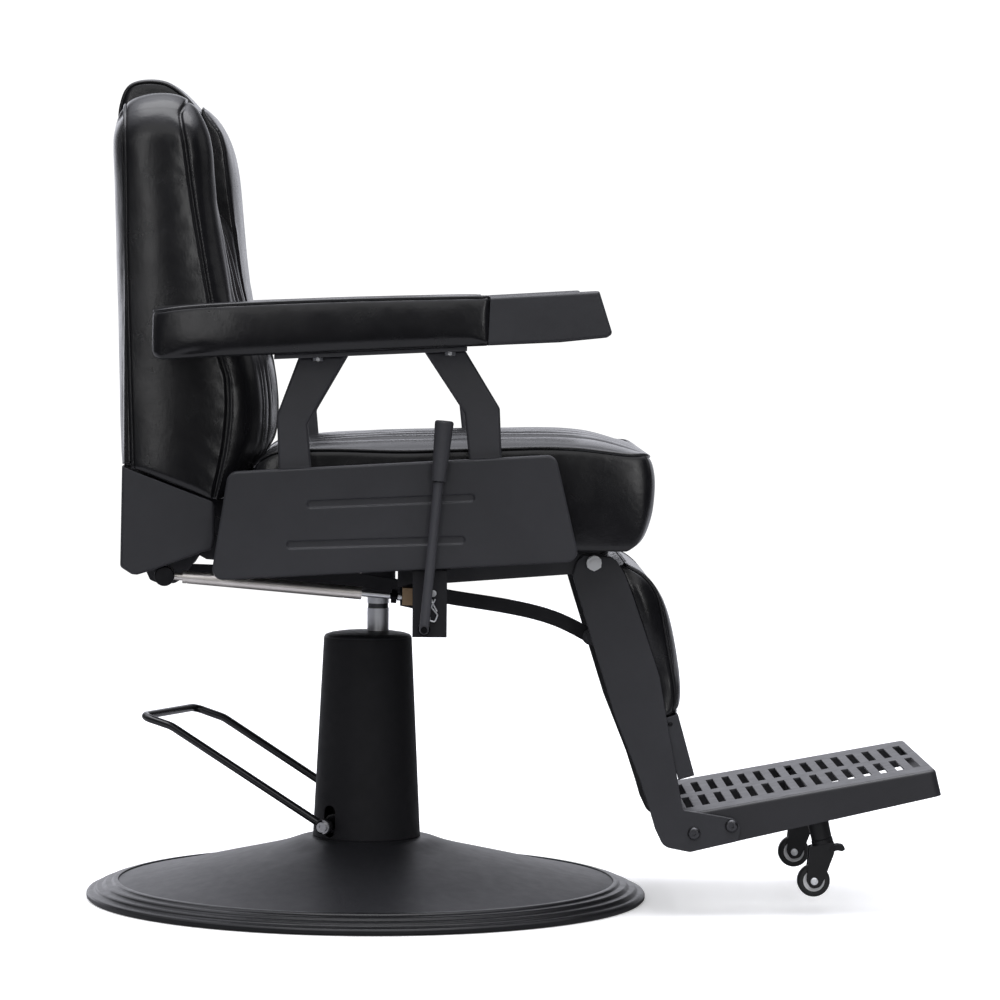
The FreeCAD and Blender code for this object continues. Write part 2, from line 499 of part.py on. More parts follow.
# ---------------------------------------------------------------- release bracket and lever
br = [box(55, 96, -281, -277, 348, 427.4), box(58.5, 62.5, -277.2, -200, 376, 427.4), box(92, 96, -277.2, -200, 376, 427.4),
      box(58.5, 62.5, -275.4, -200, 427, 432.0), box(92, 96, -275.4, -200, 427, 432.0), box(58.5, 100, -275.4, -200, 428, 432.0)]
br.append(plate([(40, 402), (58.7, 408), (58.7, 376), (40, 380)], -204.0, -200.0))
bracket = fuse(br)
pin = cyl_y(ANCHOR[0], ANCHOR[1], 3.5, -218.4, -199)
bracket = bracket.cut(cyl_y(ANCHOR[0], ANCHOR[1], 3.5, -240, -190))
lever_pin_hole = cyl_y(LEVER[0], LEVER[1], 4.0, -285, -270)
put("release_bracket", bracket.cut(lever_pin_hole))
lp = fuse([cyl_y(LEVER[0], LEVER[1], 4.0, LEVER_Y - 8.5, -274), cyl_y(LEVER[0], LEVER[1], 7.5, LEVER_Y + 6.4, -281.0)])
clevis = fuse([cyl_y(79.4, 400.5, 3.0, -288, -281.0), cyl_y(79.4, 400.5, 4.0, -284, -281.0)])
# hairpin clip below the clevis pin: a waved leg and a straight leg that cross
cw = rod_path([V(81.9, -286.6, 394.0), V(77.3, -286.6, 384.6), V(84.9, -286.6, 375.4), V(81.6, -286.6, 366.8), V(75.2, -286.6, 368.4), V(75.6, -286.6, 372.4)], [2.4, 2.4, 2.6, 1.8], 0.95)
leg_b = rod_path([V(77.4, -288.8, 394.0), V(79.0, -288.8, 389.0), V(84.2, -288.8, 379.6)], [6.0], 0.95)
put("release_pins", pin, lp, clevis, cw, leg_b)

ld = V(LEVER_TOP[0] - LEVER[0], 0, LEVER_TOP[1] - LEVER[1])
LEVER_L = ld.Length
ld = ld.normalize()
L0 = V(LEVER[0], LEVER_Y, LEVER[1])


def lever_cyl(r, a, b):
    return Part.makeCylinder(r, b - a, L0 + ld * a, ld)


lr = fuse([lever_cyl(5.8, 0, 176), Part.makeSphere(5.8, L0)])
lr = lr.cut(cyl_y(LEVER[0], LEVER[1], 4.0 + RUN, LEVER_Y - 20, LEVER_Y + 20))
core = lever_cyl(4.6, 176, 232)
put("lever_rod", fuse([lr, core]))
grip = Part.makeCone(8.2, 11.4, 71.5, L0 + ld * 177.5, ld)
grip = soften(grip, 3.0, lambda e: e.BoundBox.ZMax > 600)
put("lever_grip", grip.cut(lever_cyl(4.6, 170, 232)))

# ---------------------------------------------------------------- footrest
leg_pts = [(249.0, 416.3), (254, 434), (262, 441.5), (296, 439.5), (303, 434.0), (312.5, 418), (323.1, 390.4), (337.5, 348.6), (356.2, 292.8), (362.2, 257.8), (380.6, 160.1), (386.0, 131.5),
           (431, 124.5), (449.5, 121), (457.5, 110), (452.5, 93.5), (395, 80.0), (384, 82.1), (362.7, 86.3), (352.2, 108.2), (346, 129), (333.6, 166.7), (303.7, 241.0), (266.6, 358.8)]
leg_r = [8, 8, 8, 8, 8, 10, 20, 30, 30, 20, 30, 4, 10, 12, 10, 4, 4, 6, 16, 6, 8, 20, 30, 30]
leg = plate(leg_pts, -LEG_Y1, -LEG_Y0, leg_r)
leg = soften(leg, 1.0, lambda e: on_side(e, [-LEG_Y1]))
leg = leg.cut(cyl_y(FOOT[0], FOOT[1], 6, -200, -150))
put("footrest_leg_right", leg)
put("footrest_leg_left", mirror(leg))
piv_nut = hexagon_y(FOOT[0], FOOT[1], 17, -LEG_Y1 - 8.4, -LEG_Y1 - 1.4).common(Part.makeCone(9.15, 15.15, 9.0, V(FOOT[0], -LEG_Y1 - 8.4, FOOT[1]), V(0, 1, 0)))
piv = fuse([cyl_y(FOOT[0], FOOT[1], 6, -LEG_Y1 - 7, -163), cyl_y(FOOT[0], FOOT[1], 9.2, -LEG_Y1 - 1.5, -LEG_Y1), piv_nut, cyl_y(FOOT[0], FOOT[1], 4.6, -LEG_Y1 - 10.6, -LEG_Y1 - 6)])

LN = V(0.959, 0, 0.282)      # normal of the leg's front edge
LD = V(0.282, 0, -0.959)     # down along it
L_ORIGIN = V(323.1, 0, 390.4)


def leg_pt(s, o):
    p = L_ORIGIN + LD * s + LN * o
    return (p.x, p.z)


cboard = plate([leg_pt(-25, -20), leg_pt(146, -20), leg_pt(146, -32), leg_pt(-25, -32)], -LEG_Y0, LEG_Y0)
put("calf_board", cboard)
calf_pts = [leg_pt(150, -19.7), leg_pt(-36, -19.7), (299, 426.5), (309, 431.0), (324, 430.5), (338, 422.5), (350, 411.0), (362.0, 396), (370, 377), (375, 350), (380, 318), (384, 290), (386.5, 268), (385.0, 256.5), (379.5, 250.5), (361, 243)]
put("calf_pad", plate(calf_pts, -172, 172))
fcov = plate([leg_pt(153, 13.5), leg_pt(230, 12.5), leg_pt(230, -8), leg_pt(153, -8)], -LEG_Y0, LEG_Y0)
fcov = fcov.cut(plate([leg_pt(160, 11.3), leg_pt(240, 10.3), leg_pt(240, -12), leg_pt(160, -12)], -LEG_Y0 + 2, LEG_Y0 - 2))
put("footrest_front_cover", fcov)
lug = plate([leg_pt(35, -32.0), leg_pt(70, -32.0), (LINK[0] + 4, LINK[1] - 11), (LINK[0] - 10, LINK[1] - 6), (LINK[0] - 9, LINK[1] + 9)], LINK_Y - 10, LINK_Y - 6, [0, 0, 8, 8, 8])
lug = lug.cut(cyl_y(LINK[0], LINK[1], 6, LINK_Y - 20, LINK_Y + 20))
lug2 = plate([leg_pt(35, -32.0), leg_pt(70, -32.0), (LINK[0] + 4, LINK[1] - 11), (LINK[0] - 10, LINK[1] - 6), (LINK[0] - 9, LINK[1] + 9)], LINK_Y + 6, LINK_Y + 10, [0, 0, 8, 8, 8])
lug2 = lug2.cut(cyl_y(LINK[0], LINK[1], 6, LINK_Y - 20, LINK_Y + 20))
put("footrest_clevis", lug, lug2, cyl_y(LINK[0], LINK[1], 6, LINK_Y - 13, LINK_Y + 13))

# footplate: folded perforated tray, deeper at the back
tray_pts = [(387.2, 126.0), (694.2, 182.7), (702.0, 150.7), (394.5, 79.8)]
tray = plate(tray_pts, -LEG_Y0, LEG_Y0)
tray = soften(tray, 9.0, lambda e: e.BoundBox.XMin > 690 and e.BoundBox.YMax - e.BoundBox.YMin < 1 and e.BoundBox.ZMax - e.BoundBox.ZMin > 20)
tray = soften(tray, 4.0, lambda e: e.BoundBox.ZMin > 124 and not (e.BoundBox.ZMax < 155) and e.BoundBox.ZMax > 172 and e.BoundBox.XMax > 680 and abs(e.CenterOfMass.z - (126.0 + 0.1847 * (e.CenterOfMass.x - 387.2))) < 1.0)
inner = plate([(389.6, 123.5), (691.9, 179.6), (702.5, 136), (420, 60), (396.4, 66)], -LEG_Y0 + 2.5, LEG_Y0 - 2.5)
inner = soften(inner, 6.5, lambda e: e.BoundBox.XMin > 689 and e.BoundBox.YMax - e.BoundBox.YMin < 1 and e.BoundBox.ZMax - e.BoundBox.ZMin > 20)
tray = tray.cut(inner)
tdir = V(307.0, 0, 56.7).normalize()
tnor = V(-tdir.z, 0, tdir.x)
slots = []
for i in range(15):
    c = V(398.5 + 19.93 * i, 0, 0)
    c.z = 126.0 + 0.1847 * (c.x - 387.2)
    for y0 in (-122.0, 18.0):
        pts = [c + tdir * 4.7 + tnor * 6 + V(0, y0, 0), c - tdir * 4.7 + tnor * 6 + V(0, y0, 0), c - tdir * 4.7 - tnor * 8 + V(0, y0, 0), c + tdir * 4.7 - tnor * 8 + V(0, y0, 0)]
        slots.append(Part.Face(Part.makePolygon(pts + [pts[0]])).extrude(V(0, 104.0, 0)))
tray = tray.cut(slots[0].multiFuse(slots[1:]))
put("footplate", tray)

fs = []
for x, z in ((399.6, 103.2), (445.2, 112.6)):
    h = Part.makeCylinder(7.8, 4.2, V(x, -LEG_Y1, z), V(0, -1, 0))
    h = soften(h, 3.4, lambda e: on_side(e, [-LEG_Y1 - 4.2]))
    h = h.cut(hexagon_y(x, z, 5.0, -LEG_Y1 - 6, -LEG_Y1 - 2.0))
    fs += [h, mirror(h)]
put("footrest_fasteners", piv, mirror(piv), *fs)

# casters: the stem is square to the footplate
cn = V(-0.2275, 0, 0.9738)          # up along the stem
cu = V(0.9738, 0, 0.2275)           # forward along the plate's lower edge
C0 = V(395.0, 0, 79.0)


def cas(u, v, y=0.0):
    return C0 + cu * u + cn * v + V(0, y, 0)


STEM_U = 163.0
AXLE = (142.0, -71.7)
HINGE_BRAKE = (178.0, -37.5)


def cas_plate(pts, y0, y1, r=0.0):
    edges = loop_edges(pts, r, lambda p: cas(p[0], p[1], y0))
    return Part.Face(Part.Wire(edges)).extrude(V(0, y1 - y0, 0))


sock = Part.makeCone(12.6, 13.6, 58.0, cas(STEM_U, -24.0), cn)
cut_top = plate([(420, 123.5 + 0.1856 * (420 - 389.6) - 0.02), (680, 123.5 + 0.1856 * (680 - 389.6) - 0.02), (680, 300), (420, 300)], -60, 60)
sock = sock.cut(cut_top)
sock = sock.cut(Part.makeCylinder(5 + RUN, 40.0, cas(STEM_U, -30), cn))
socks = []
for y in (-CASTER_Y, CASTER_Y):
    s = sock.copy()
    s.translate(V(0, y, 0))
    socks.append(s)
put("caster_sockets", *socks)

stem = Part.makeCylinder(5.0, 34.0, cas(STEM_U, -27.0), cn)
collar = Part.makeCylinder(13.2, 5.2, cas(STEM_U, -29.6), cn)
crown = cas_plate([(148.5, -29.6), (176.0, -29.6), (176.0, -33.4), (146.5, -33.4)], -11.6, 11.6)
side_pts = [(146.0, -29.6), (176.0, -29.6), (174.0, -43.0), (154.5, -72.5), (147.5, -80.5), (136.5, -80.5), (132.5, -70.0), (141.0, -45.0)]
side = cas_plate(side_pts, 9.3, 11.6, [0, 0, 6, 10, 7, 7, 10, 20])
side2 = cas_plate(side_pts, -11.6, -9.3, [0, 0, 6, 10, 7, 7, 10, 20])
axle = Part.makeCylinder(3.0, 26.0, cas(AXLE[0], AXLE[1], -13.0), V(0, 1, 0))
fork = fuse([stem, collar, crown, side, side2, axle,
             Part.makeCylinder(5.2, 2.2, cas(AXLE[0], AXLE[1], -13.6), V(0, 1, 0)), Part.makeCylinder(5.2, 2.2, cas(AXLE[0], AXLE[1], 11.4), V(0, 1, 0))])
fork = fork.cut(Part.makeCylinder(2.0 + RUN, 40, cas(HINGE_BRAKE[0] - 7, HINGE_BRAKE[1] - 0.5, -20), V(0, 1, 0)))
hub = Part.makeCylinder(13.2, 15.0, cas(AXLE[0], AXLE[1], -7.5), V(0, 1, 0))
hub = hub.fuse(Part.makeCylinder(6.0, 18.0, cas(AXLE[0], AXLE[1], -9.0), V(0, 1, 0))).removeSplitter()
ring_cut = Part.makeCylinder(11.6, 3.0, cas(AXLE[0], AXLE[1], -8.5), V(0, 1, 0)).cut(Part.makeCylinder(7.6, 3.0, cas(AXLE[0], AXLE[1], -8.5), V(0, 1, 0)))
hub = hub.cut(ring_cut).cut(ring_cut.mirror(V(0, 0, 0), V(0, 1, 0)))
hub = hub.cut(Part.makeCylinder(3.0 + RUN, 60, cas(AXLE[0], AXLE[1], -30), V(0, 1, 0)))
tyre = Part.makeCylinder(WHEEL_R, 16.0, cas(AXLE[0], AXLE[1], -8.0), V(0, 1, 0))
tyre = soften(tyre, 4.5, lambda e: on_side(e, [-8.0, 8.0]))
tyre = tyre.cut(Part.makeCylinder(13.2, 60, cas(AXLE[0], AXLE[1], -30), V(0, 1, 0)))
bp = fuse([cas_plate([(166.5, -34.6), (180.0, -34.4), (187.0, -37.0), (188.0, -42.4), (183.5, -44.0), (178.5, -41.6), (166.5, -41.6)], -8.6, 8.6, [1, 2, 2.4, 1.6, 2, 3, 1]),
           Part.makeCylinder(2.0, 23.6, cas(HINGE_BRAKE[0] - 7, HINGE_BRAKE[1] - 0.5, -11.8), V(0, 1, 0))])
for tag, y in (("right", -CASTER_Y), ("left", CASTER_Y)):
    for nm, s in (("caster_fork", fork), ("caster_hub", hub), ("caster_tyre", tyre), ("caster_brake", bp)):
        t = s.copy()
        t.translate(V(0, y, 0))
        put("%s_%s" % (nm, tag), t)

# ---------------------------------------------------------------- footrest link
link_pts = [(LOWER[0], LOWER[1]), (-180, 413.5), (-100, 409.8), (-10, 404.6), (60, 393.0), (97, 385.6), (138, 379.4), (190, 370.6), (236.5, 357.0), (258, 346.8), (LINK[0], LINK[1])]
lb = bar_path(link_pts, 17.4, LINK_Y - 4.5, LINK_Y + 4.5)
lb = fuse([lb, cyl_y(LOWER[0], LOWER[1], 13.5, LINK_Y - 4.5, LINK_Y + 4.5), cyl_y(LINK[0], LINK[1], 10.5, LINK_Y - 4.5, LINK_Y + 4.5)])
lb = lb.cut(cyl_y(LOWER[0], LOWER[1], 7.6, LINK_Y - 20, LINK_Y + 20)).cut(cyl_y(LINK[0], LINK[1], 6 + RUN, LINK_Y - 20, LINK_Y + 20))
put("footrest_link", lb)
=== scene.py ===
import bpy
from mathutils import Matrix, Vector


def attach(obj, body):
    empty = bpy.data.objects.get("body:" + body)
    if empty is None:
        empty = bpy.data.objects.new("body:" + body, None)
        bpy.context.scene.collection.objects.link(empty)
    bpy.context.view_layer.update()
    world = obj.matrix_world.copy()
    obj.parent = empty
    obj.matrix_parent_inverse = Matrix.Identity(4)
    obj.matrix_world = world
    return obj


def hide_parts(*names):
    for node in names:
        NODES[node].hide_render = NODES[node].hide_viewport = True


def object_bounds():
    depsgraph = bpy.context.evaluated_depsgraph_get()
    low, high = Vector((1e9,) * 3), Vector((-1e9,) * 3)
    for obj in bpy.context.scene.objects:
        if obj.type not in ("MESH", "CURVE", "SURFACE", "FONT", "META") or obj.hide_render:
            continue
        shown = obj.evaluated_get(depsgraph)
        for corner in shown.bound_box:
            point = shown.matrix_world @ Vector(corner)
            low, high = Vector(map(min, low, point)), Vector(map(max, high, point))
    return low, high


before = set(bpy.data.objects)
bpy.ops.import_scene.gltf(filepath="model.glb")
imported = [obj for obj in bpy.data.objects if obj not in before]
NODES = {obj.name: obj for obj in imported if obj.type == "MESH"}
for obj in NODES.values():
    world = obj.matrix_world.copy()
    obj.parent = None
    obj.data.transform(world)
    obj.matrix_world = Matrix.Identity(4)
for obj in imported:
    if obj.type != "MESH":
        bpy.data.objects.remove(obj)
CAD_LO, CAD_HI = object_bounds()
CAD_LO, CAD_HI = [float(v) for v in CAD_LO], [float(v) for v in CAD_HI]

import math

import bmesh
import bpy
import numpy as np
from mathutils import Matrix, Vector, kdtree, noise

scene = bpy.context.scene

# ------------------------------------------------------------------ camera
YAW, PITCH, ROLL, FOCAL = 0.021682213, -0.048342897, -0.00856049, 4423.5617
fwd = Vector((math.sin(YAW) * math.cos(PITCH), math.cos(YAW) * math.cos(PITCH), math.sin(PITCH)))
rgt = Vector((math.cos(YAW), -math.sin(YAW), 0))
dwn = fwd.cross(rgt)
r2 = rgt * math.cos(ROLL) + dwn * math.sin(ROLL)
d2 = dwn * math.cos(ROLL) - rgt * math.sin(ROLL)
cam_data = bpy.data.cameras.new("camera")
cam_data.sensor_width = 36.0
cam_data.lens = FOCAL / 1000.0 * 36.0
cam_data.clip_end = 200.0
cam = bpy.data.objects.new("camera", cam_data)
scene.collection.objects.link(cam)
rot = Matrix((r2, -d2, -fwd)).transposed()
cam.matrix_world = Matrix.Translation((0.044183683, -5.529665897, 0.766253102)) @ rot.to_4x4()
scene.camera = cam
scene.view_settings.view_transform = "Standard"
scene.view_settings.look = "None"


# ------------------------------------------------------------------ node helpers
class Tree:
    """Small helper that adds and links shader nodes."""

    def __init__(self, tree):
        self.t = tree

    def add(self, kind, **kw):
        n = self.t.nodes.new(kind)
        for k, v in kw.items():
            setattr(n, k, v)
        return n

    def link(self, a, b):
        self.t.links.new(a, b)

    def set(self, n, **kw):
        for k, v in kw.items():
            n.inputs[k.replace("_", " ")].default_value = v


def new_material(name):
    m = bpy.data.materials.new(name)
    m.use_nodes = True
    t = m.node_tree
    for n in list(t.nodes):
        t.nodes.remove(n)
    T = Tree(t)
    out = T.add("ShaderNodeOutputMaterial")
    bsdf = T.add("ShaderNodeBsdfPrincipled")
    T.link(bsdf.outputs[0], out.inputs[0])
    co = T.add("ShaderNodeTexCoord")
    return m, T, bsdf, co.outputs["Object"]


def noise_tex(T, vec, scale, detail=3.0, rough=0.55, stretch=None, distortion=0.0):
    if stretch is not None:
        mp = T.add("ShaderNodeMapping")
        mp.inputs["Scale"].default_value = stretch
        T.link(vec, mp.inputs["Vector"])
        vec = mp.outputs[0]
    n = T.add("ShaderNodeTexNoise")
    n.inputs["Scale"].default_value = scale
    n.inputs["Detail"].default_value = detail
    n.inputs["Roughness"].default_value = rough
    n.inputs["Distortion"].default_value = distortion
    T.link(vec, n.inputs["Vector"])
    return n.outputs["Fac"]


def ramp(T, fac, stops):
    r = T.add("ShaderNodeValToRGB")
    e = r.color_ramp.elements
    while len(e) < len(stops):
        e.new(0.5)
    for el, (p, c) in zip(e, stops):
        el.position = p
        el.color = (c[0], c[1], c[2], 1.0) if hasattr(c, "__len__") else (c, c, c, 1.0)
    T.link(fac, r.inputs[0])
    return r.outputs[0]


def bump(T, height, strength, distance, normal=None):
    b = T.add("ShaderNodeBump")
    b.inputs["Strength"].default_value = strength
    b.inputs["Distance"].default_value = distance
    T.link(height, b.inputs["Height"])
    if normal is not None:
        T.link(normal, b.inputs["Normal"])
    return b.outputs[0]


def edge_wear_and_painted_highlight(T, b, co, colour, light, radius, amount):
    """Rounds the shading of sharp edges and lightens the colour along them, partly as rubbed wear and partly as a
    painted edge highlight; returns the rounded normal.
    """
    bev = T.add("ShaderNodeBevel", samples=6)
    bev.inputs["Radius"].default_value = radius
    geo = T.add("ShaderNodeNewGeometry")
    dot = T.add("ShaderNodeVectorMath", operation="DOT_PRODUCT")
    T.link(bev.outputs[0], dot.inputs[0])
    T.link(geo.outputs["Normal"], dot.inputs[1])
    edge = ramp(T, dot.outputs["Value"], [(0.72, amount), (0.96, 0.0)])
    patchy = ramp(T, noise_tex(T, co, 70.0, 3.0, 0.6), [(0.3, 0.45), (0.6, 1.0)])
    fac = T.add("ShaderNodeMath", operation="MULTIPLY")
    T.link(edge, fac.inputs[0])
    T.link(patchy, fac.inputs[1])
    mixed = T.add("ShaderNodeMix", data_type="RGBA")
    T.link(fac.outputs[0], mixed.inputs[0])
    T.link(colour, mixed.inputs[6])
    # lighter colour along the edges: partly rubbed wear, partly a painted edge highlight
    mixed.inputs[7].default_value = tuple(min(3.0 * c, 0.9) for c in light) + (1.0,)
    T.link(mixed.outputs[2], b.inputs["Base Color"])
    return bev.outputs[0]


def painted(name, dark, light, rough_lo, rough_hi, grain=1100.0, grain_strength=0.12, specular=0.5, coat=0.0, edge=0.0015):
    """Powder-coated or sprayed metal: fine orange peel, cloudy roughness, a little dust in the colour, edges lightened
    in colour as rubbed wear and as a painted edge highlight.
    """
    m, T, b, co = new_material(name)
    cloud = noise_tex(T, co, 9.0, 4.0, 0.6)
    n0 = edge_wear_and_painted_highlight(T, b, co, ramp(T, cloud, [(0.32, dark), (0.7, light)]), light, edge, 0.55)
    fine = noise_tex(T, co, 60.0, 3.0, 0.6)
    T.link(ramp(T, fine, [(0.3, rough_lo), (0.72, rough_hi)]), b.inputs["Roughness"])
    b.inputs["Specular IOR Level"].default_value = specular
    if coat:
        b.inputs["Coat Weight"].default_value = coat
        b.inputs["Coat Roughness"].default_value = 0.12
    peel = noise_tex(T, co, grain, 2.0, 0.5)
    wave = noise_tex(T, co, grain / 9.0, 2.0, 0.5)
    n1 = bump(T, peel, grain_strength, 0.0004, n0)
    n2 = bump(T, wave, grain_strength * 0.5, 0.0008, n1)
    T.link(n2, b.inputs["Normal"])
    return m


def metal(name, c_lo, c_hi, rough_lo, rough_hi, stretch=None, scale=300.0, strength=0.06):
    """Bare, plated or brushed metal."""
    m, T, b, co = new_material(name)
    b.inputs["Metallic"].default_value = 1.0
    cloud = noise_tex(T, co, 40.0, 4.0, 0.6)
    T.link(ramp(T, cloud, [(0.3, c_lo), (0.7, c_hi)]), b.inputs["Base Color"])
    lines = noise_tex(T, co, scale, 3.0, 0.6, stretch)
    T.link(ramp(T, lines, [(0.3, rough_lo), (0.7, rough_hi)]), b.inputs["Roughness"])
    T.link(bump(T, lines, strength, 0.0003), b.inputs["Normal"])
    return m


def moulded(name, dark, light, rough_lo, rough_hi, texture=1500.0, strength=0.15, specular=0.5):
    """Injection-moulded plastic or rubber with a spark-eroded skin."""
    m, T, b, co = new_material(name)
    cloud = noise_tex(T, co, 25.0, 3.0, 0.6)
    # edges lightened in colour: partly wear, partly a painted edge highlight
    n0 = edge_wear_and_painted_highlight(T, b, co, ramp(T, cloud, [(0.3, dark), (0.72, light)]), light, 0.0012, 0.3)
    fine = noise_tex(T, co, 140.0, 3.0, 0.6)
    T.link(ramp(T, fine, [(0.3, rough_lo), (0.7, rough_hi)]), b.inputs["Roughness"])
    b.inputs["Specular IOR Level"].default_value = specular
    v = T.add("ShaderNodeTexVoronoi")
    v.inputs["Scale"].default_value = texture
    T.link(co, v.inputs["Vector"])
    T.link(bump(T, v.outputs["Distance"], strength, 0.0003, n0), b.inputs["Normal"])
    return m


def leather(name, dark=(0.0054, 0.0054, 0.0064), light=(0.0086, 0.0086, 0.0101), rough_lo=0.22, rough_hi=0.285, grain=0.14):
    """Black corrected-grain leather: pebble cells, pores, soft creases and cloudy gloss."""
    m, T, b, co = new_material(name)
    cloud = noise_tex(T, co, 14.0, 5.0, 0.6)
    T.link(ramp(T, cloud, [(0.3, dark), (0.72, light)]), b.inputs["Base Color"])
    gloss = noise_tex(T, co, 32.0, 4.0, 0.62)
    T.link(ramp(T, gloss, [(0.3, rough_lo), (0.72, rough_hi)]), b.inputs["Roughness"])
    b.inputs["Specular IOR Level"].default_value = 0.5
    b.inputs["Sheen Weight"].default_value = 0.015
    b.inputs["Sheen Roughness"].default_value = 0.5
    warp = noise_tex(T, co, 260.0, 2.0, 0.5)
    v = T.add("ShaderNodeTexVoronoi")
    v.feature = "F1"
    v.inputs["Scale"].default_value = 820.0
    T.link(co, v.inputs["Vector"])
    pebble = ramp(T, v.outputs["Distance"], [(0.0, 1.0), (0.62, 0.35), (1.0, 0.0)])
    n1 = bump(T, pebble, grain, 0.00022)
    n2 = bump(T, warp, 0.08, 0.0011, n1)
    crease = noise_tex(T, co, 46.0, 4.0, 0.6, distortion=0.6)
    n3 = bump(T, crease, 0.05, 0.004, n2)
    T.link(n3, b.inputs["Normal"])
    return m


def threaded(name):
    """Bonded sewing thread."""
    m, T, b, co = new_material(name)
    n = noise_tex(T, co, 1800.0, 2.0, 0.5)
    T.link(ramp(T, n, [(0.3, (0.012, 0.012, 0.013)), (0.7, (0.035, 0.035, 0.037))]), b.inputs["Base Color"])
    b.inputs["Roughness"].default_value = 0.6
    T.link(bump(T, n, 0.3, 0.0002), b.inputs["Normal"])
    return m


def wooden(name):
    """Dark stained plywood: stretched grain and plies."""
    m, T, b, co = new_material(name)
    g = noise_tex(T, co, 30.0, 5.0, 0.6, (1.0, 9.0, 14.0), 0.4)
    T.link(ramp(T, g, [(0.25, (0.016, 0.0145, 0.0135)), (0.75, (0.034, 0.030, 0.027))]), b.inputs["Base Color"])
    b.inputs["Roughness"].default_value = 0.62
    T.link(bump(T, g, 0.12, 0.0006), b.inputs["Normal"])
    return m


def banded(name, axis, lo, hi, stops):
    """One set of small metal parts with different plating along an axis: stops are (share of the way, colour, roughness)."""
    m, T, b, co = new_material(name)
    b.inputs["Metallic"].default_value = 1.0
    sep = T.add("ShaderNodeSeparateXYZ")
    T.link(co, sep.inputs[0])
    step = T.add("ShaderNodeMapRange")
    step.inputs["From Min"].default_value = lo
    step.inputs["From Max"].default_value = hi
    T.link(sep.outputs[axis], step.inputs["Value"])
    T.link(ramp(T, step.outputs[0], [(t, c) for t, c, _ in stops]), b.inputs["Base Color"])
    T.link(ramp(T, step.outputs[0], [(t, r) for t, _, r in stops]), b.inputs["Roughness"])
    n = noise_tex(T, co, 700.0, 3.0, 0.6)
    T.link(bump(T, n, 0.10, 0.0003), b.inputs["Normal"])
    return m


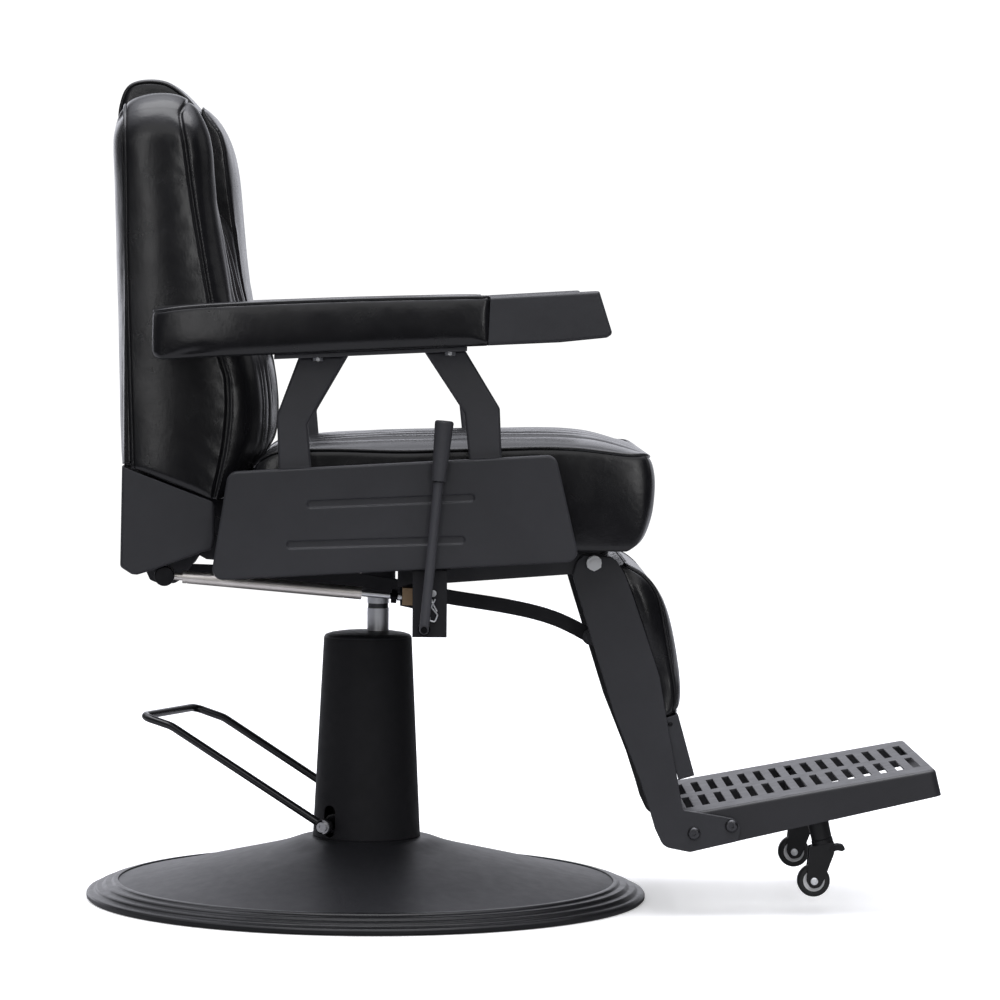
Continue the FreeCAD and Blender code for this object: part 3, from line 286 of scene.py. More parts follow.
DARK, ZINC = (0.012, 0.012, 0.0135), (0.76, 0.77, 0.79)
MAT = {
    "paint": painted("satin_black_paint", (0.0225, 0.0228, 0.0266), (0.0290, 0.0294, 0.0340), 0.44, 0.54),
    "paint_base": painted("satin_base_paint", (0.0150, 0.0152, 0.0174), (0.0178, 0.0181, 0.0206), 0.42, 0.48, 900.0, 0.12),
    # darker matt paint: the pump cover's own finish, and painted shade on the bracket, link, socket and frame that sit
    # in shadow under the seat
    "paint_column_and_painted_shade": painted("matt_column_paint_and_painted_shade", (0.0130, 0.0128, 0.0148), (0.0165, 0.0163, 0.0188), 0.56, 0.66, 1000.0, 0.14, specular=0.25),
    "paint_gloss": painted("gloss_black_trim", (0.0062, 0.0062, 0.0070), (0.0098, 0.0098, 0.0110), 0.31, 0.38, 700.0, 0.02, specular=0.30, coat=0.05),
    # the satin black paint with a lighter colour: painted light on arm frames and lever rod, which sit in the armrest's
    # shade
    "paint_arm_painted_light": painted("satin_arm_paint_painted_light", (0.0450, 0.0454, 0.0512), (0.0540, 0.0545, 0.0612), 0.44, 0.54),
    "paint_pedal": painted("gloss_pedal_paint", (0.007, 0.007, 0.008), (0.011, 0.011, 0.0125), 0.18, 0.27, 700.0, 0.05, coat=0.3),
    "paint_plate": painted("satin_footplate_paint", (0.0128, 0.0126, 0.0152), (0.0176, 0.0174, 0.0208), 0.38, 0.46, 1000.0, 0.10, specular=0.55),
    "cast": painted("cast_iron_black", (0.03, 0.03, 0.031), (0.06, 0.06, 0.062), 0.6, 0.75, 500.0, 0.4),
    "piston": banded("brushed_piston", "Z", 0.352, 0.372, [(0.0, (0.86, 0.87, 0.89), 0.46), (0.50, (0.82, 0.83, 0.85), 0.46), (0.54, (0.10, 0.10, 0.105), 0.40), (0.80, (0.10, 0.10, 0.105), 0.40), (0.84, (0.82, 0.83, 0.85), 0.46)]),
    "zinc": metal("zinc_plate", (0.55, 0.56, 0.58), (0.70, 0.71, 0.73), 0.30, 0.42),
    "strut": metal("nickel_tube", (0.80, 0.76, 0.72), (0.88, 0.84, 0.80), 0.34, 0.44, (0.03, 1.0, 1.0), 700.0, 0.05),
    "oxide": metal("black_oxide", (0.018, 0.018, 0.02), (0.03, 0.03, 0.032), 0.38, 0.5),
    "brass": metal("brass_block", (0.32, 0.22, 0.135), (0.43, 0.31, 0.20), 0.42, 0.55),
    "fasteners": banded("nuts_and_screws", "Z", 0.298, 0.302, [(0.0, (0.085, 0.085, 0.09), 0.30), (1.0, (0.84, 0.85, 0.86), 0.36)]),
    "pins": banded("pins_and_clip", "Z", 0.3655, 0.3665, [(0.0, DARK, 0.46), (1.0, ZINC, 0.34)]),
    "rod": banded("rod_and_nut", "X", 0.028, 0.038, [(0.0, ZINC, 0.34), (0.03, DARK, 0.45), (0.90, DARK, 0.45), (0.94, ZINC, 0.34)]),
    "plastic": moulded("moulded_black", (0.0215, 0.0218, 0.0256), (0.0280, 0.0284, 0.0330), 0.42, 0.52, 1300.0, 0.16),
    "caster": moulded("caster_black", (0.006, 0.006, 0.0068), (0.010, 0.010, 0.0112), 0.42, 0.52, 1300.0, 0.14, 0.35),
    "rubber": moulded("grip_rubber", (0.0380, 0.0384, 0.0430), (0.0470, 0.0475, 0.0530), 0.48, 0.58, 1500.0, 0.2),
    "axle": banded("pedal_axle", "Y", -0.0740, 0.0924, [(0.0, (0.50, 0.50, 0.51), 0.28), (0.0215, (0.50, 0.50, 0.51), 0.28), (0.0225, DARK, 0.42), (0.9775, DARK, 0.42), (0.9785, (0.50, 0.50, 0.51), 0.28)]),
    "tyre": moulded("tyre_rubber", (0.008, 0.008, 0.008), (0.014, 0.014, 0.014), 0.5, 0.62, 1200.0, 0.2),
    "hub": moulded("hub_grey", (0.86, 0.86, 0.86), (0.93, 0.93, 0.93), 0.32, 0.44, 900.0, 0.06),
    "screw": metal("bright_screw", (0.82, 0.83, 0.84), (0.92, 0.93, 0.94), 0.42, 0.54),
    "ply": wooden("stained_ply"),
    "leather": leather("black_leather"),
    "thread": threaded("black_thread"),
}

FINISH = {
    "paint": ["footrest_hangers", "side_panel_right", "side_panel_left",
              "footrest_front_cover", "back_hinge_brackets", "back_arms", "back_skirt", "footrest_leg_right",
              "footrest_leg_left", "footrest_clevis", "headrest_guide"],
    # arm frames and lever rod take the lighter copy of the black paint, as painted light
    "paint_arm_painted_light": ["arm_frame_right", "arm_frame_left", "lever_rod"],
    "paint_base": ["base_dome"],
    "paint_gloss": ["base_rim"],
    # the bracket, link, swivel socket and seat frame take the darker paint as painted shade
    "paint_column_and_painted_shade": ["pump_cover", "release_bracket", "footrest_link", "swivel_socket", "seat_frame"],
    "paint_pedal": ["pedal_loop"],
    "paint_plate": ["footplate"],
    "caster": ["caster_sockets", "caster_fork_right", "caster_fork_left", "caster_brake_right", "caster_brake_left"],
    "cast": ["base_plate", "pump_body"],
    "piston": ["piston_rod"],
    "zinc": ["pump_bolts", "pump_plunger", "seat_bolts", "headrest_bar"],
    "pins": ["release_pins"],
    "rod": ["strut_rod"],
    "strut": ["strut_cylinder"],
    "oxide": ["back_pins", "pedal_bushes"],
    "axle": ["pedal_shaft"],
    "fasteners": ["footrest_fasteners"],
    "brass": ["strut_block"],
    "plastic": ["pump_cap", "armrest_cap_right", "armrest_cap_left"],
    "rubber": ["lever_grip"],
    "ply": ["seat_board", "calf_board"],
    "tyre": ["caster_tyre_right", "caster_tyre_left"],
    "hub": ["caster_hub_right", "caster_hub_left"],
    "leather": ["seat_cushion", "armrest_pad_right", "armrest_pad_left", "back_cushion", "back_panel", "headrest_cushion", "calf_pad"],
}
for key, names in FINISH.items():
    for n in names:
        data = NODES[n].data
        data.materials.clear()
        data.materials.append(MAT[key])

# ------------------------------------------------------------------ stage and light
me = bpy.data.meshes.new("floor")
bm = bmesh.new()
bmesh.ops.create_circle(bm, cap_ends=True, radius=3.4, segments=128)
bm.to_mesh(me)
bm.free()
floor = bpy.data.objects.new("floor", me)
floor.location = (0.1, 1.9, -0.0006)
scene.collection.objects.link(floor)
fm, FT, fb, fco = new_material("pale_floor")
fb.inputs["Base Color"].default_value = (0.86, 0.86, 0.86, 1)
fb.inputs["Specular IOR Level"].default_value = 0.2
fb.inputs["Emission Color"].default_value = (1, 1, 1, 1)
fb.inputs["Emission Strength"].default_value = 0.40
FT.link(ramp(FT, noise_tex(FT, fco, 6.0), [(0.3, 0.5), (0.7, 0.6)]), fb.inputs["Roughness"])
dim = FT.add("ShaderNodeBsdfDiffuse")
dim.inputs["Color"].default_value = (0.36, 0.36, 0.37, 1)
ray = FT.add("ShaderNodeLightPath")
pick = FT.add("ShaderNodeMixShader")
FT.link(ray.outputs["Is Camera Ray"], pick.inputs[0])
FT.link(dim.outputs[0], pick.inputs[1])
FT.link(fb.outputs[0], pick.inputs[2])
FT.link(pick.outputs[0], [n for n in fm.node_tree.nodes if n.type == "OUTPUT_MATERIAL"][0].inputs[0])
me.materials.append(fm)

world = bpy.data.worlds.new("studio")
scene.world = world
world.use_nodes = True
W = Tree(world.node_tree)
for n in list(world.node_tree.nodes):
    world.node_tree.nodes.remove(n)
wout = W.add("ShaderNodeOutputWorld")
wco = W.add("ShaderNodeTexCoord")
wsep = W.add("ShaderNodeSeparateXYZ")
W.link(wco.outputs["Generated"], wsep.inputs[0])


def map_range(T, src, lo, hi, a, b, smooth=True):
    n = T.add("ShaderNodeMapRange")
    n.interpolation_type = "SMOOTHSTEP" if smooth else "LINEAR"
    n.inputs["From Min"].default_value = lo
    n.inputs["From Max"].default_value = hi
    n.inputs["To Min"].default_value = a
    n.inputs["To Max"].default_value = b
    T.link(src, n.inputs["Value"])
    return n.outputs[0]


def math_node(T, op, a, b):
    n = T.add("ShaderNodeMath", operation=op)
    for i, v in enumerate((a, b)):
        if isinstance(v, (int, float)):
            n.inputs[i].default_value = v
        else:
            T.link(v, n.inputs[i])
    return n.outputs[0]


behind = map_range(W, wsep.outputs["Y"], 0.66, 0.985, 0.05, 1.12)
low = map_range(W, wsep.outputs["Z"], 0.40, 0.85, 1.0, 0.45)
above = map_range(W, wsep.outputs["Z"], 0.48, 1.0, 0.0, 2.6)
right = map_range(W, wsep.outputs["X"], 0.04, 0.42, 1.0, 0.42)
left = map_range(W, wsep.outputs["X"], -0.42, -0.08, 1.8, 1.0)
under = map_range(W, wsep.outputs["Z"], -0.10, 0.03, 0.5, 1.0)
backdrop = math_node(W, "MULTIPLY", math_node(W, "MULTIPLY", behind, math_node(W, "MULTIPLY", low, under)), math_node(W, "MULTIPLY", right, left))
light_sum = math_node(W, "ADD", backdrop, above)
bg_light = W.add("ShaderNodeBackground")
bg_light.inputs["Color"].default_value = (0.97, 0.98, 1.06, 1)
W.link(light_sum, bg_light.inputs["Strength"])
bg_view = W.add("ShaderNodeBackground")
bg_view.inputs["Color"].default_value = (1, 1, 1, 1)
bg_view.inputs["Strength"].default_value = 1.1
path = W.add("ShaderNodeLightPath")
mix = W.add("ShaderNodeMixShader")
W.link(path.outputs["Is Camera Ray"], mix.inputs[0])
W.link(bg_light.outputs[0], mix.inputs[1])
W.link(bg_view.outputs[0], mix.inputs[2])
W.link(mix.outputs[0], wout.inputs[0])


def area(name, loc, target, size_x, size_y, power):
    d = bpy.data.lights.new(name, "AREA")
    d.shape = "RECTANGLE"
    d.size, d.size_y, d.energy = size_x, size_y, power
    o = bpy.data.objects.new(name, d)
    o.location = loc
    o.rotation_euler = (Vector(target) - Vector(loc)).to_track_quat("-Z", "Y").to_euler()
    scene.collection.objects.link(o)
    return o


area("key_top", (0.1, -0.6, 3.5), (0.05, 0.0, 0.5), 3.2, 2.4, 70.0)
area("front_soft", (0.2, -4.6, 3.0), (0.05, 0.0, 0.6), 5.0, 2.2, 30.0)
area("strip_left", (-1.5, -5.3, 1.25), (0.0, -0.2, 0.7), 0.40, 2.4, 14.0)
area("strip_right", (1.75, -5.3, 1.35), (0.1, -0.2, 0.6), 0.45, 2.4, 19.0)
area("side_front", (4.8, 0.5, 2.6), (0.1, 0.0, 0.6), 3.6, 2.4, 9.0)
area("side_rear", (-4.8, 0.5, 2.4), (-0.1, 0.0, 0.6), 3.6, 2.4, 9.0)


# ------------------------------------------------------------------ soft goods: tools
MM = 0.001


def pch(*pts):
    """Smooth curve without overshoot through (x, y) points."""
    pts = sorted(pts)
    xs, ys = np.array([p[0] for p in pts], float), np.array([p[1] for p in pts], float)
    h, m = np.diff(xs), np.zeros(len(xs))
    d = np.diff(ys) / h
    for k in range(1, len(xs) - 1):
        if d[k - 1] * d[k] > 0:
            w1, w2 = 2 * h[k] + h[k - 1], h[k] + 2 * h[k - 1]
            m[k] = (w1 + w2) / (w1 / d[k - 1] + w2 / d[k])
    m[0], m[-1] = d[0], d[-1]

    def f(x):
        x = min(max(x, xs[0]), xs[-1])
        k = min(max(int(np.searchsorted(xs, x)) - 1, 0), len(h) - 1)
        t = (x - xs[k]) / h[k]
        return ((2 * t ** 3 - 3 * t ** 2 + 1) * ys[k] + (t ** 3 - 2 * t ** 2 + t) * h[k] * m[k]
                + (3 * t ** 2 - 2 * t ** 3) * ys[k + 1] + (t ** 3 - t ** 2) * h[k] * m[k + 1])

    return f


def polyline(*pts):
    """Smooth curve in the plane through points, by arc length from 0 to 1."""
    p = np.array(pts, float)
    s = np.concatenate([[0], np.cumsum(np.linalg.norm(np.diff(p, axis=0), axis=1))])
    s = s / s[-1]
    fx, fz = pch(*zip(s, p[:, 0])), pch(*zip(s, p[:, 1]))
    return lambda t: (fx(t), fz(t))


def sstep(a, b, x):
    t = min(max((x - a) / (b - a), 0.0), 1.0)
    return t * t * (3 - 2 * t)


def lerp(a, b, t):
    return a + (b - a) * t


def lines(*stops):
    """Grid lines from (position, cells to the next) stops."""
    out = []
    for (a, n), (b, _) in zip(stops, stops[1:]):
        out += [a + (b - a) * k / n for k in range(n)]
    return out + [stops[-1][0]]


class Skin:
    """A closed skin: two faces over one grid and a wall of rows round the edge. Millimetres in, metres out."""

    def __init__(self, U, V, face, back, rows, wall, mask=None):
        nu, nv = len(U), len(V)
        steps = [k / rows for k in range(1, rows)] if isinstance(rows, int) else list(rows)
        cell = [[True if mask is None else mask(i, j) for j in range(nv - 1)] for i in range(nu - 1)]
        used = np.zeros((nu, nv), bool)
        for i in range(nu - 1):
            for j in range(nv - 1):
                if cell[i][j]:
                    used[i:i + 2, j:j + 2] = True
        self.F, self.B = -np.ones((nu, nv), int), -np.ones((nu, nv), int)
        P, where = [], {}
        for grid, fn in ((self.F, face), (self.B, back)):
            for i in range(nu):
                for j in range(nv):
                    if used[i, j]:
                        grid[i, j] = len(P)
                        where[len(P)] = (i, j)
                        P.append(np.array(fn(U[i], V[j]), float))
        faces, edge = [], {}
        for i in range(nu - 1):
            for j in range(nv - 1):
                if cell[i][j]:
                    q = [self.F[i, j], self.F[i + 1, j], self.F[i + 1, j + 1], self.F[i, j + 1]]
                    faces.append(tuple(q))
                    faces.append(tuple(self.B[where[a]] for a in reversed(q)))
                    for a, b in zip(q, q[1:] + q[:1]):
                        edge[(a, b)] = True
        nxt = {a: b for a, b in edge if (b, a) not in edge}
        self.loops, self.cols, left = [], {}, set(nxt)
        while left:
            a = start = min(left)
            loop = []
            while True:
                loop.append(a)
                left.discard(a)
                a = nxt[a]
                if a == start:
                    break
            self.loops.append(loop)
        for loop in self.loops:
            n = len(loop)
            for k, a in enumerate(loop):
                pf, pb = P[a], P[self.B[where[a]]]
                out = np.cross(P[loop[(k + 1) % n]] - P[loop[k - 1]], pf - pb)
                out = out / (np.linalg.norm(out) + 1e-9)
                col = [a]
                for t in steps:
                    col.append(len(P))
                    P.append(np.array(wall(t, pf, pb, out, U[where[a][0]], V[where[a][1]]), float))
                self.cols[a] = col + [self.B[where[a]]]
        for loop in self.loops:
            for k, a in enumerate(loop):
                b = loop[(k + 1) % len(loop)]
                ca, cb = self.cols[a], self.cols[b]
                for r in range(len(steps) + 1):
                    faces.append((cb[r], ca[r], ca[r + 1], cb[r + 1]))
        self.P, self.faces, self.pins, self.seams, self.where = np.array(P) * MM, faces, set(), [], where

    def pin(self, ids, seam=None):
        ids = [int(a) for a in ids if a >= 0]
        self.pins.update(ids)
        if seam is not None:
            self.seams.append((ids, seam))

    def pin_back(self):
        self.pins.update(int(a) for a in self.B.ravel() if a >= 0)

    def pin_edge(self, crease=0.6):
        for loop in self.loops:
            self.pin(loop + loop[:1], crease)

    def pin_back_edge(self, crease=0.6):
        for loop in self.loops:
            ids = [self.cols[a][-1] for a in loop]
            self.pin(ids + ids[:1], crease)

    def mesh(self, name):
        me = bpy.data.meshes.new(name)
        me.from_pydata([tuple(p) for p in self.P], [], self.faces)
        bm = bmesh.new()
        bm.from_mesh(me)
        bmesh.ops.recalc_face_normals(bm, faces=bm.faces)
        bm.to_mesh(me)
        bm.free()
        pairs = {}
        for ids, c in self.seams:
            for a, b in zip(ids, ids[1:]):
                pairs[frozenset((a, b))] = c
        at = me.attributes.new("crease_edge", "FLOAT", "EDGE")
        at.data.foreach_set("value", [pairs.get(frozenset(e.vertices), 0.0) for e in me.edges])
        return me


SOFT = []


def puff(name, skin, cap, pressure=4.0, stiff=14.0, bend=0.6, smooth=2):
    """Makes the piece and queues it for the cloth simulation; cap is in millimetres."""
    me = skin.mesh(name)
    o = bpy.data.objects.new(name, me)
    scene.collection.objects.link(o)
    me.materials.append(MAT["leather"])
    SOFT.append((o, skin, cap, pressure, stiff, bend, smooth))
    return o


def simulate():
    rest = {}
    for o, skin, cap, pressure, stiff, bend, smooth in SOFT:
        g = o.vertex_groups.new(name="pin")
        g.add(sorted(skin.pins), 1.0, "REPLACE")
        c = o.modifiers.new("cloth", "CLOTH")
        st = c.settings
        st.quality = 6
        st.mass = 0.25
        st.tension_stiffness = st.compression_stiffness = stiff
        st.shear_stiffness = stiff * 0.4
        st.bending_stiffness = bend
        st.use_pressure = True
        st.uniform_pressure_force = pressure
        st.vertex_group_mass = "pin"
        st.effector_weights.gravity = 0.0
        c.collision_settings.use_collision = False
        c.collision_settings.use_self_collision = False
        c.point_cache.frame_start, c.point_cache.frame_end = 1, 24
        rest[o.name] = skin.P.copy()
    for f in range(1, 21):
        scene.frame_set(f)
    dg = bpy.context.evaluated_depsgraph_get()
    for o, skin, cap, pressure, stiff, bend, smooth in SOFT:
        ev = o.evaluated_get(dg)
        co = np.zeros(len(o.data.vertices) * 3, np.float32)
        ev.data.vertices.foreach_get("co", co)
        d = co.reshape(-1, 3).astype(float) - rest[o.name]
        free = np.ones(len(d), bool)
        free[sorted(skin.pins)] = False
        e = np.zeros(len(o.data.edges) * 2, int)
        o.data.edges.foreach_get("vertices", e)
        e = e.reshape(-1, 2)
        for _ in range(smooth):
            acc, cnt = np.zeros_like(d), np.zeros(len(d))
            np.add.at(acc, e[:, 0], d[e[:, 1]])
            np.add.at(acc, e[:, 1], d[e[:, 0]])
            np.add.at(cnt, e[:, 0], 1)
            np.add.at(cnt, e[:, 1], 1)
            d[free] = 0.5 * d[free] + 0.5 * (acc / np.maximum(cnt, 1)[:, None])[free]
        ln = np.linalg.norm(d, axis=1)
        lim = cap * MM
        moved = lim * np.tanh(ln / lim)
        d = d * (moved / np.maximum(ln, 1e-9))[:, None]
        d[~free] = 0.0
        print("cloth", o.name, "verts", len(d), "largest move mm", round(float(ln.max()) / MM, 2), "kept", round(float(moved.max()) / MM, 2))
        o.modifiers.clear()
        o.data.vertices.foreach_set("co", (rest[o.name] + d).astype(np.float32).ravel())
        o.data.update()
    scene.frame_set(1)


def pucker(o, seams, amount, reach, pitch, seed):
    """Small gathers that die away from the sewn lines."""
    kd = kdtree.KDTree(len(seams))
    for k, i in enumerate(seams):
        kd.insert(o.data.vertices[i].co, k)
    kd.balance()
    off = Vector((seed * 3.1, seed * 7.7, seed * 1.3))
    moves = []
    for v in o.data.vertices:
        _, k, dist = kd.find(v.co)
        w = math.exp(-dist / reach)
        near = min(dist / (0.35 * reach), 1.0)
        g = noise.noise(v.co / pitch + off) * w * near
        soft = noise.noise(v.co / 0.055 + off * 2)
        moves.append(v.co + v.normal * (amount * g + 0.00045 * soft * min(dist / 0.012, 1.0)))
    for v, c in zip(o.data.vertices, moves):
        v.co = c


def subdivide(o):
    """One applied subdivision; the first vertices stay those of the cage, in order."""
    md = o.modifiers.new("sub", "SUBSURF")
    md.levels = md.render_levels = 1
    dg = bpy.context.evaluated_depsgraph_get()
    me = bpy.data.meshes.new_from_object(o.evaluated_get(dg))
    o.modifiers.clear()
    old = o.data
    o.data = me
    bpy.data.meshes.remove(old)
    me.name = o.name
    me.materials.clear()
    me.materials.append(MAT["leather"])
    me.polygons.foreach_set("use_smooth", [True] * len(me.polygons))


def sew(o, ids, depth, width, closed=False, fade=None):
    """Pulls the finished skin in along a seam, so that its lips stand on both sides of a sharp valley."""
    vs = o.data.vertices
    path = np.array([vs[i].co for i in ids])
    path = resample(path, 0.001, closed)
    kd = kdtree.KDTree(len(path))
    for k, c in enumerate(path):
        kd.insert(c, k)
    kd.balance()
    moves = []
    for v in vs:
        _, k, d = kd.find(v.co)
        if d < width:
            w = (1 - d / width) ** 1.4
            if fade is not None:
                w *= fade(v.co)
            moves.append((v.index, v.co - v.normal * (depth * w)))
    for i, c in moves:
        vs[i].co = c


def add_mesh(name, verts, faces, mat, smooth=True):
    me = bpy.data.meshes.new(name)
    me.from_pydata([tuple(v) for v in verts], [], faces)
    bm = bmesh.new()
    bm.from_mesh(me)
    bmesh.ops.recalc_face_normals(bm, faces=bm.faces)
    bm.to_mesh(me)
    bm.free()
    if smooth:
        me.polygons.foreach_set("use_smooth", [True] * len(me.polygons))
    me.materials.append(mat)
    o = bpy.data.objects.new(name, me)
    scene.collection.objects.link(o)
    return o


def tube_data(pts, radius, sides=10, closed=True):
    """Swept round tube through points, with rounded ends if it is open."""
    p = np.array(pts, float)
    n = len(p)
    if closed:
        tan = np.roll(p, -1, 0) - np.roll(p, 1, 0)
    else:
        tan = np.gradient(p, axis=0)
    tan /= np.linalg.norm(tan, axis=1)[:, None] + 1e-12
    up = np.array([0.0, 0.0, 1.0]) if abs(tan[0][2]) < 0.8 else np.array([1.0, 0.0, 0.0])
    a = np.cross(tan[0], up)
    a /= np.linalg.norm(a)
    frames = []
    for k in range(n):
        a = a - tan[k] * np.dot(a, tan[k])
        a /= np.linalg.norm(a)
        frames.append((a.copy(), np.cross(tan[k], a)))
    V, Fc = [], []
    twist = 0.0
    if closed:
        a0, b0 = frames[0]
        al = a - tan[0] * np.dot(a, tan[0])
        twist = math.atan2(np.dot(al, b0), np.dot(al, a0))
    rad = np.full(n, radius)
    for k in range(n):
        u, w = frames[k]
        for s in range(sides):
            th = 2 * math.pi * s / sides - twist * k / n
            V.append(p[k] + rad[k] * (math.cos(th) * u + math.sin(th) * w))
    for k in range(n if closed else n - 1):
        k2 = (k + 1) % n
        for s in range(sides):
            s2 = (s + 1) % sides
            Fc.append((k * sides + s, k * sides + s2, k2 * sides + s2, k2 * sides + s))
    if not closed:
        for k, sg in ((0, -1), (n - 1, 1)):
            base = len(V)
            for s in range(sides):
                V.append(p[k] + sg * tan[k] * radius * 0.6 + 0.62 * (V[k * sides + s] - p[k]))
            for s in range(sides):
                s2 = (s + 1) % sides
                Fc.append((k * sides + s, k * sides + s2, base + s2, base + s))
            tip = len(V)
            V.append(p[k] + sg * tan[k] * radius * 0.85)
            for s in range(sides):
                Fc.append((base + s, base + (s + 1) % sides, tip))
    return V, Fc


def resample(pts, step, closed=True):
    p = np.array(pts, float)
    if closed:
        p = np.vstack([p, p[:1]])
    s = np.concatenate([[0], np.cumsum(np.linalg.norm(np.diff(p, axis=0), axis=1))])
    n = max(int(round(s[-1] / step)), 3)
    t = np.linspace(0, s[-1], n + 1)
    q = np.stack([np.interp(t, s, p[:, k]) for k in range(3)], 1)
    if closed:
        q = q[:-1]
    return q


def smooth_path(p, times=2, closed=True):
    for _ in range(times):
        if closed:
            p = 0.25 * np.roll(p, 1, 0) + 0.5 * p + 0.25 * np.roll(p, -1, 0)
        else:
            q = p.copy()
            q[1:-1] = 0.25 * p[:-2] + 0.5 * p[1:-1] + 0.25 * p[2:]
            p = q
    return p


def piping(name, o, ids, radius, body, lift=0.4, closed=True, step=0.004):
    """Welt cord sewn in along a seam of a finished piece."""
    vs = o.data.vertices
    pts = np.array([vs[i].co + vs[i].normal * (radius * lift) for i in ids])
    pts = smooth_path(resample(pts, step, closed), 3, closed)
    V, Fc = tube_data(pts, radius, 10, closed)
    w = add_mesh(name, V, Fc, MAT["leather"])
    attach(w, body)
    return w


def stitches(name, o, rows, body, length=0.0034, gap=0.0016, radius=0.00042):
    """Single thread stitches laid on a finished surface; rows are lists of (vertex a, vertex b, share) along the seam."""
    vs = o.data.vertices
    V, Fc = [], []
    for row in rows:
        pts = np.array([vs[a].co.lerp(vs[b].co, t) for a, b, t in row])
        nor = np.array([vs[a].normal.lerp(vs[b].normal, t).normalized() for a, b, t in row])
        s = np.concatenate([[0], np.cumsum(np.linalg.norm(np.diff(pts, axis=0), axis=1))])
        x = 0.002
        while x + length < s[-1]:
            ring = []
            for k, (f, r, h) in enumerate(((0.0, 0.45, -0.3), (0.18, 0.95, 0.35), (0.5, 1.0, 0.55), (0.82, 0.95, 0.35), (1.0, 0.45, -0.3))):
                at = x + length * f
                c = np.array([np.interp(at, s, pts[:, q]) for q in range(3)])
                nn = np.array([np.interp(at, s, nor[:, q]) for q in range(3)])
                nn /= np.linalg.norm(nn)
                c2 = np.array([np.interp(at + 0.0005, s, pts[:, q]) for q in range(3)])
                tn = c2 - c
                tn /= np.linalg.norm(tn) + 1e-12
                side = np.cross(tn, nn)
                first = len(V)
                for q in range(6):
                    th = 2 * math.pi * q / 6
                    V.append(c + nn * (radius * h) + radius * r * (math.cos(th) * side + math.sin(th) * nn))
                ring.append(first)
            for a, b in zip(ring, ring[1:]):
                for q in range(6):
                    q2 = (q + 1) % 6
                    Fc.append((a + q, a + q2, b + q2, b + q))
            Fc.append(tuple(ring[0] + q for q in range(6)))
            Fc.append(tuple(ring[-1] + q for q in reversed(range(6))))
            x += length + gap
    t = add_mesh(name, V, Fc, MAT["thread"])
    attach(t, body)
    return t


def mirrored(name, o):
    me = o.data.copy()
    me.name = name
    me.transform(Matrix.Diagonal((1, -1, 1, 1)))
    me.flip_normals()
    m = bpy.data.objects.new(name, me)
    scene.collection.objects.link(m)
    return m


# ------------------------------------------------------------------ seat cushion
seat_side = pch((-138, 546), (-128, 557), (-108, 565), (-45, 567.5), (40, 566), (103, 568), (167, 570), (210, 571.5), (242, 571), (274, 568.5), (295, 566), (318, 564), (334, 565.5), (341, 563))
seat_mid = pch((-138, 547), (-122, 560), (-100, 568.5), (-60, 574), (38, 580), (120, 582), (172, 583), (228, 584.5), (262, 583), (284, 579.5), (306, 573), (322, 568), (334, 564), (341, 561.5))
seat_nose = pch((566, 336), (550, 340.5), (534, 342), (501, 340), (476, 334.5), (458, 326), (449, 312))
SEAT_SEAMS = (-150.0, -75.0, 0.0, 75.0, 150.0)


def seat_x(x, z):
    if x <= 285:
        return x
    return 285 + (x - 285) * (seat_nose(z) - 285) / (336 - 285)


def seat_face(x, y):
    t = y / 247.0
    sx = (x + 138) / 478.0
    yy = y * (1 - 0.022 * abs(2 * sx - 1) ** 14)
    xx = x - (7.0 * abs(t) ** 10 if x > 120 else -5.0 * abs(t) ** 10) * abs(2 * sx - 1) ** 6
    g = max(1 - abs(t) ** 3.4, 0.0) ** 0.62
    z = lerp(seat_side(xx), seat_mid(xx), g)
    live = sstep(-136, -95, xx) * (1 - sstep(322, 339, xx))
    near = min(abs(y - s) for s in SEAT_SEAMS)
    half = 37.5 if abs(y) < 150 else 48.0
    z += live * (2.2 * (1 - (1 - min(near / half, 1)) ** 2) - 5.0 * math.exp(-(near / 6.5) ** 2))
    return (xx, yy, z)


def seat_back(x, y):
    low = lerp(479.5, 449.2, sstep(221, 232, x))
    t = y / 247.0
    return (seat_x(x - 6 * abs(t) ** 10 * (1 if x > 300 else 0), 449.5 if x > 230 else 566), y * 0.985, low)


def seat_wall(t, pf, pb, out, u, v):
    z = lerp(pf[2], pb[2], t)
    bulge = 3.6 * (4 * t * (1 - t)) ** 0.8
    ox, oy = out[0], out[1]
    x = seat_x(pf[0], z) + (bulge * ox if pf[0] < 0 else 0.35 * bulge * ox)
    y = lerp(pf[1], pb[1], t) + bulge * oy
    return (x if pf[0] > -120 else max(x, -139.5), y, z)


seat = Skin(lines((-138, 4), (-112, 50), (300, 8), (340, 0)),
            lines((-247, 14), (-150, 10), (-75, 10), (0, 10), (75, 10), (150, 14), (247, 0)),
            seat_face, seat_back, 16, seat_wall)
SV = lines((-247, 14), (-150, 10), (-75, 10), (0, 10), (75, 10), (150, 14), (247, 0))
for y in SEAT_SEAMS:
    seat.pin(seat.F[:, SV.index(y)], 0.75)
seat.pin_edge(0.8)
seat.pin_back()
seat_o = puff("seat_leather", seat, 5.0)

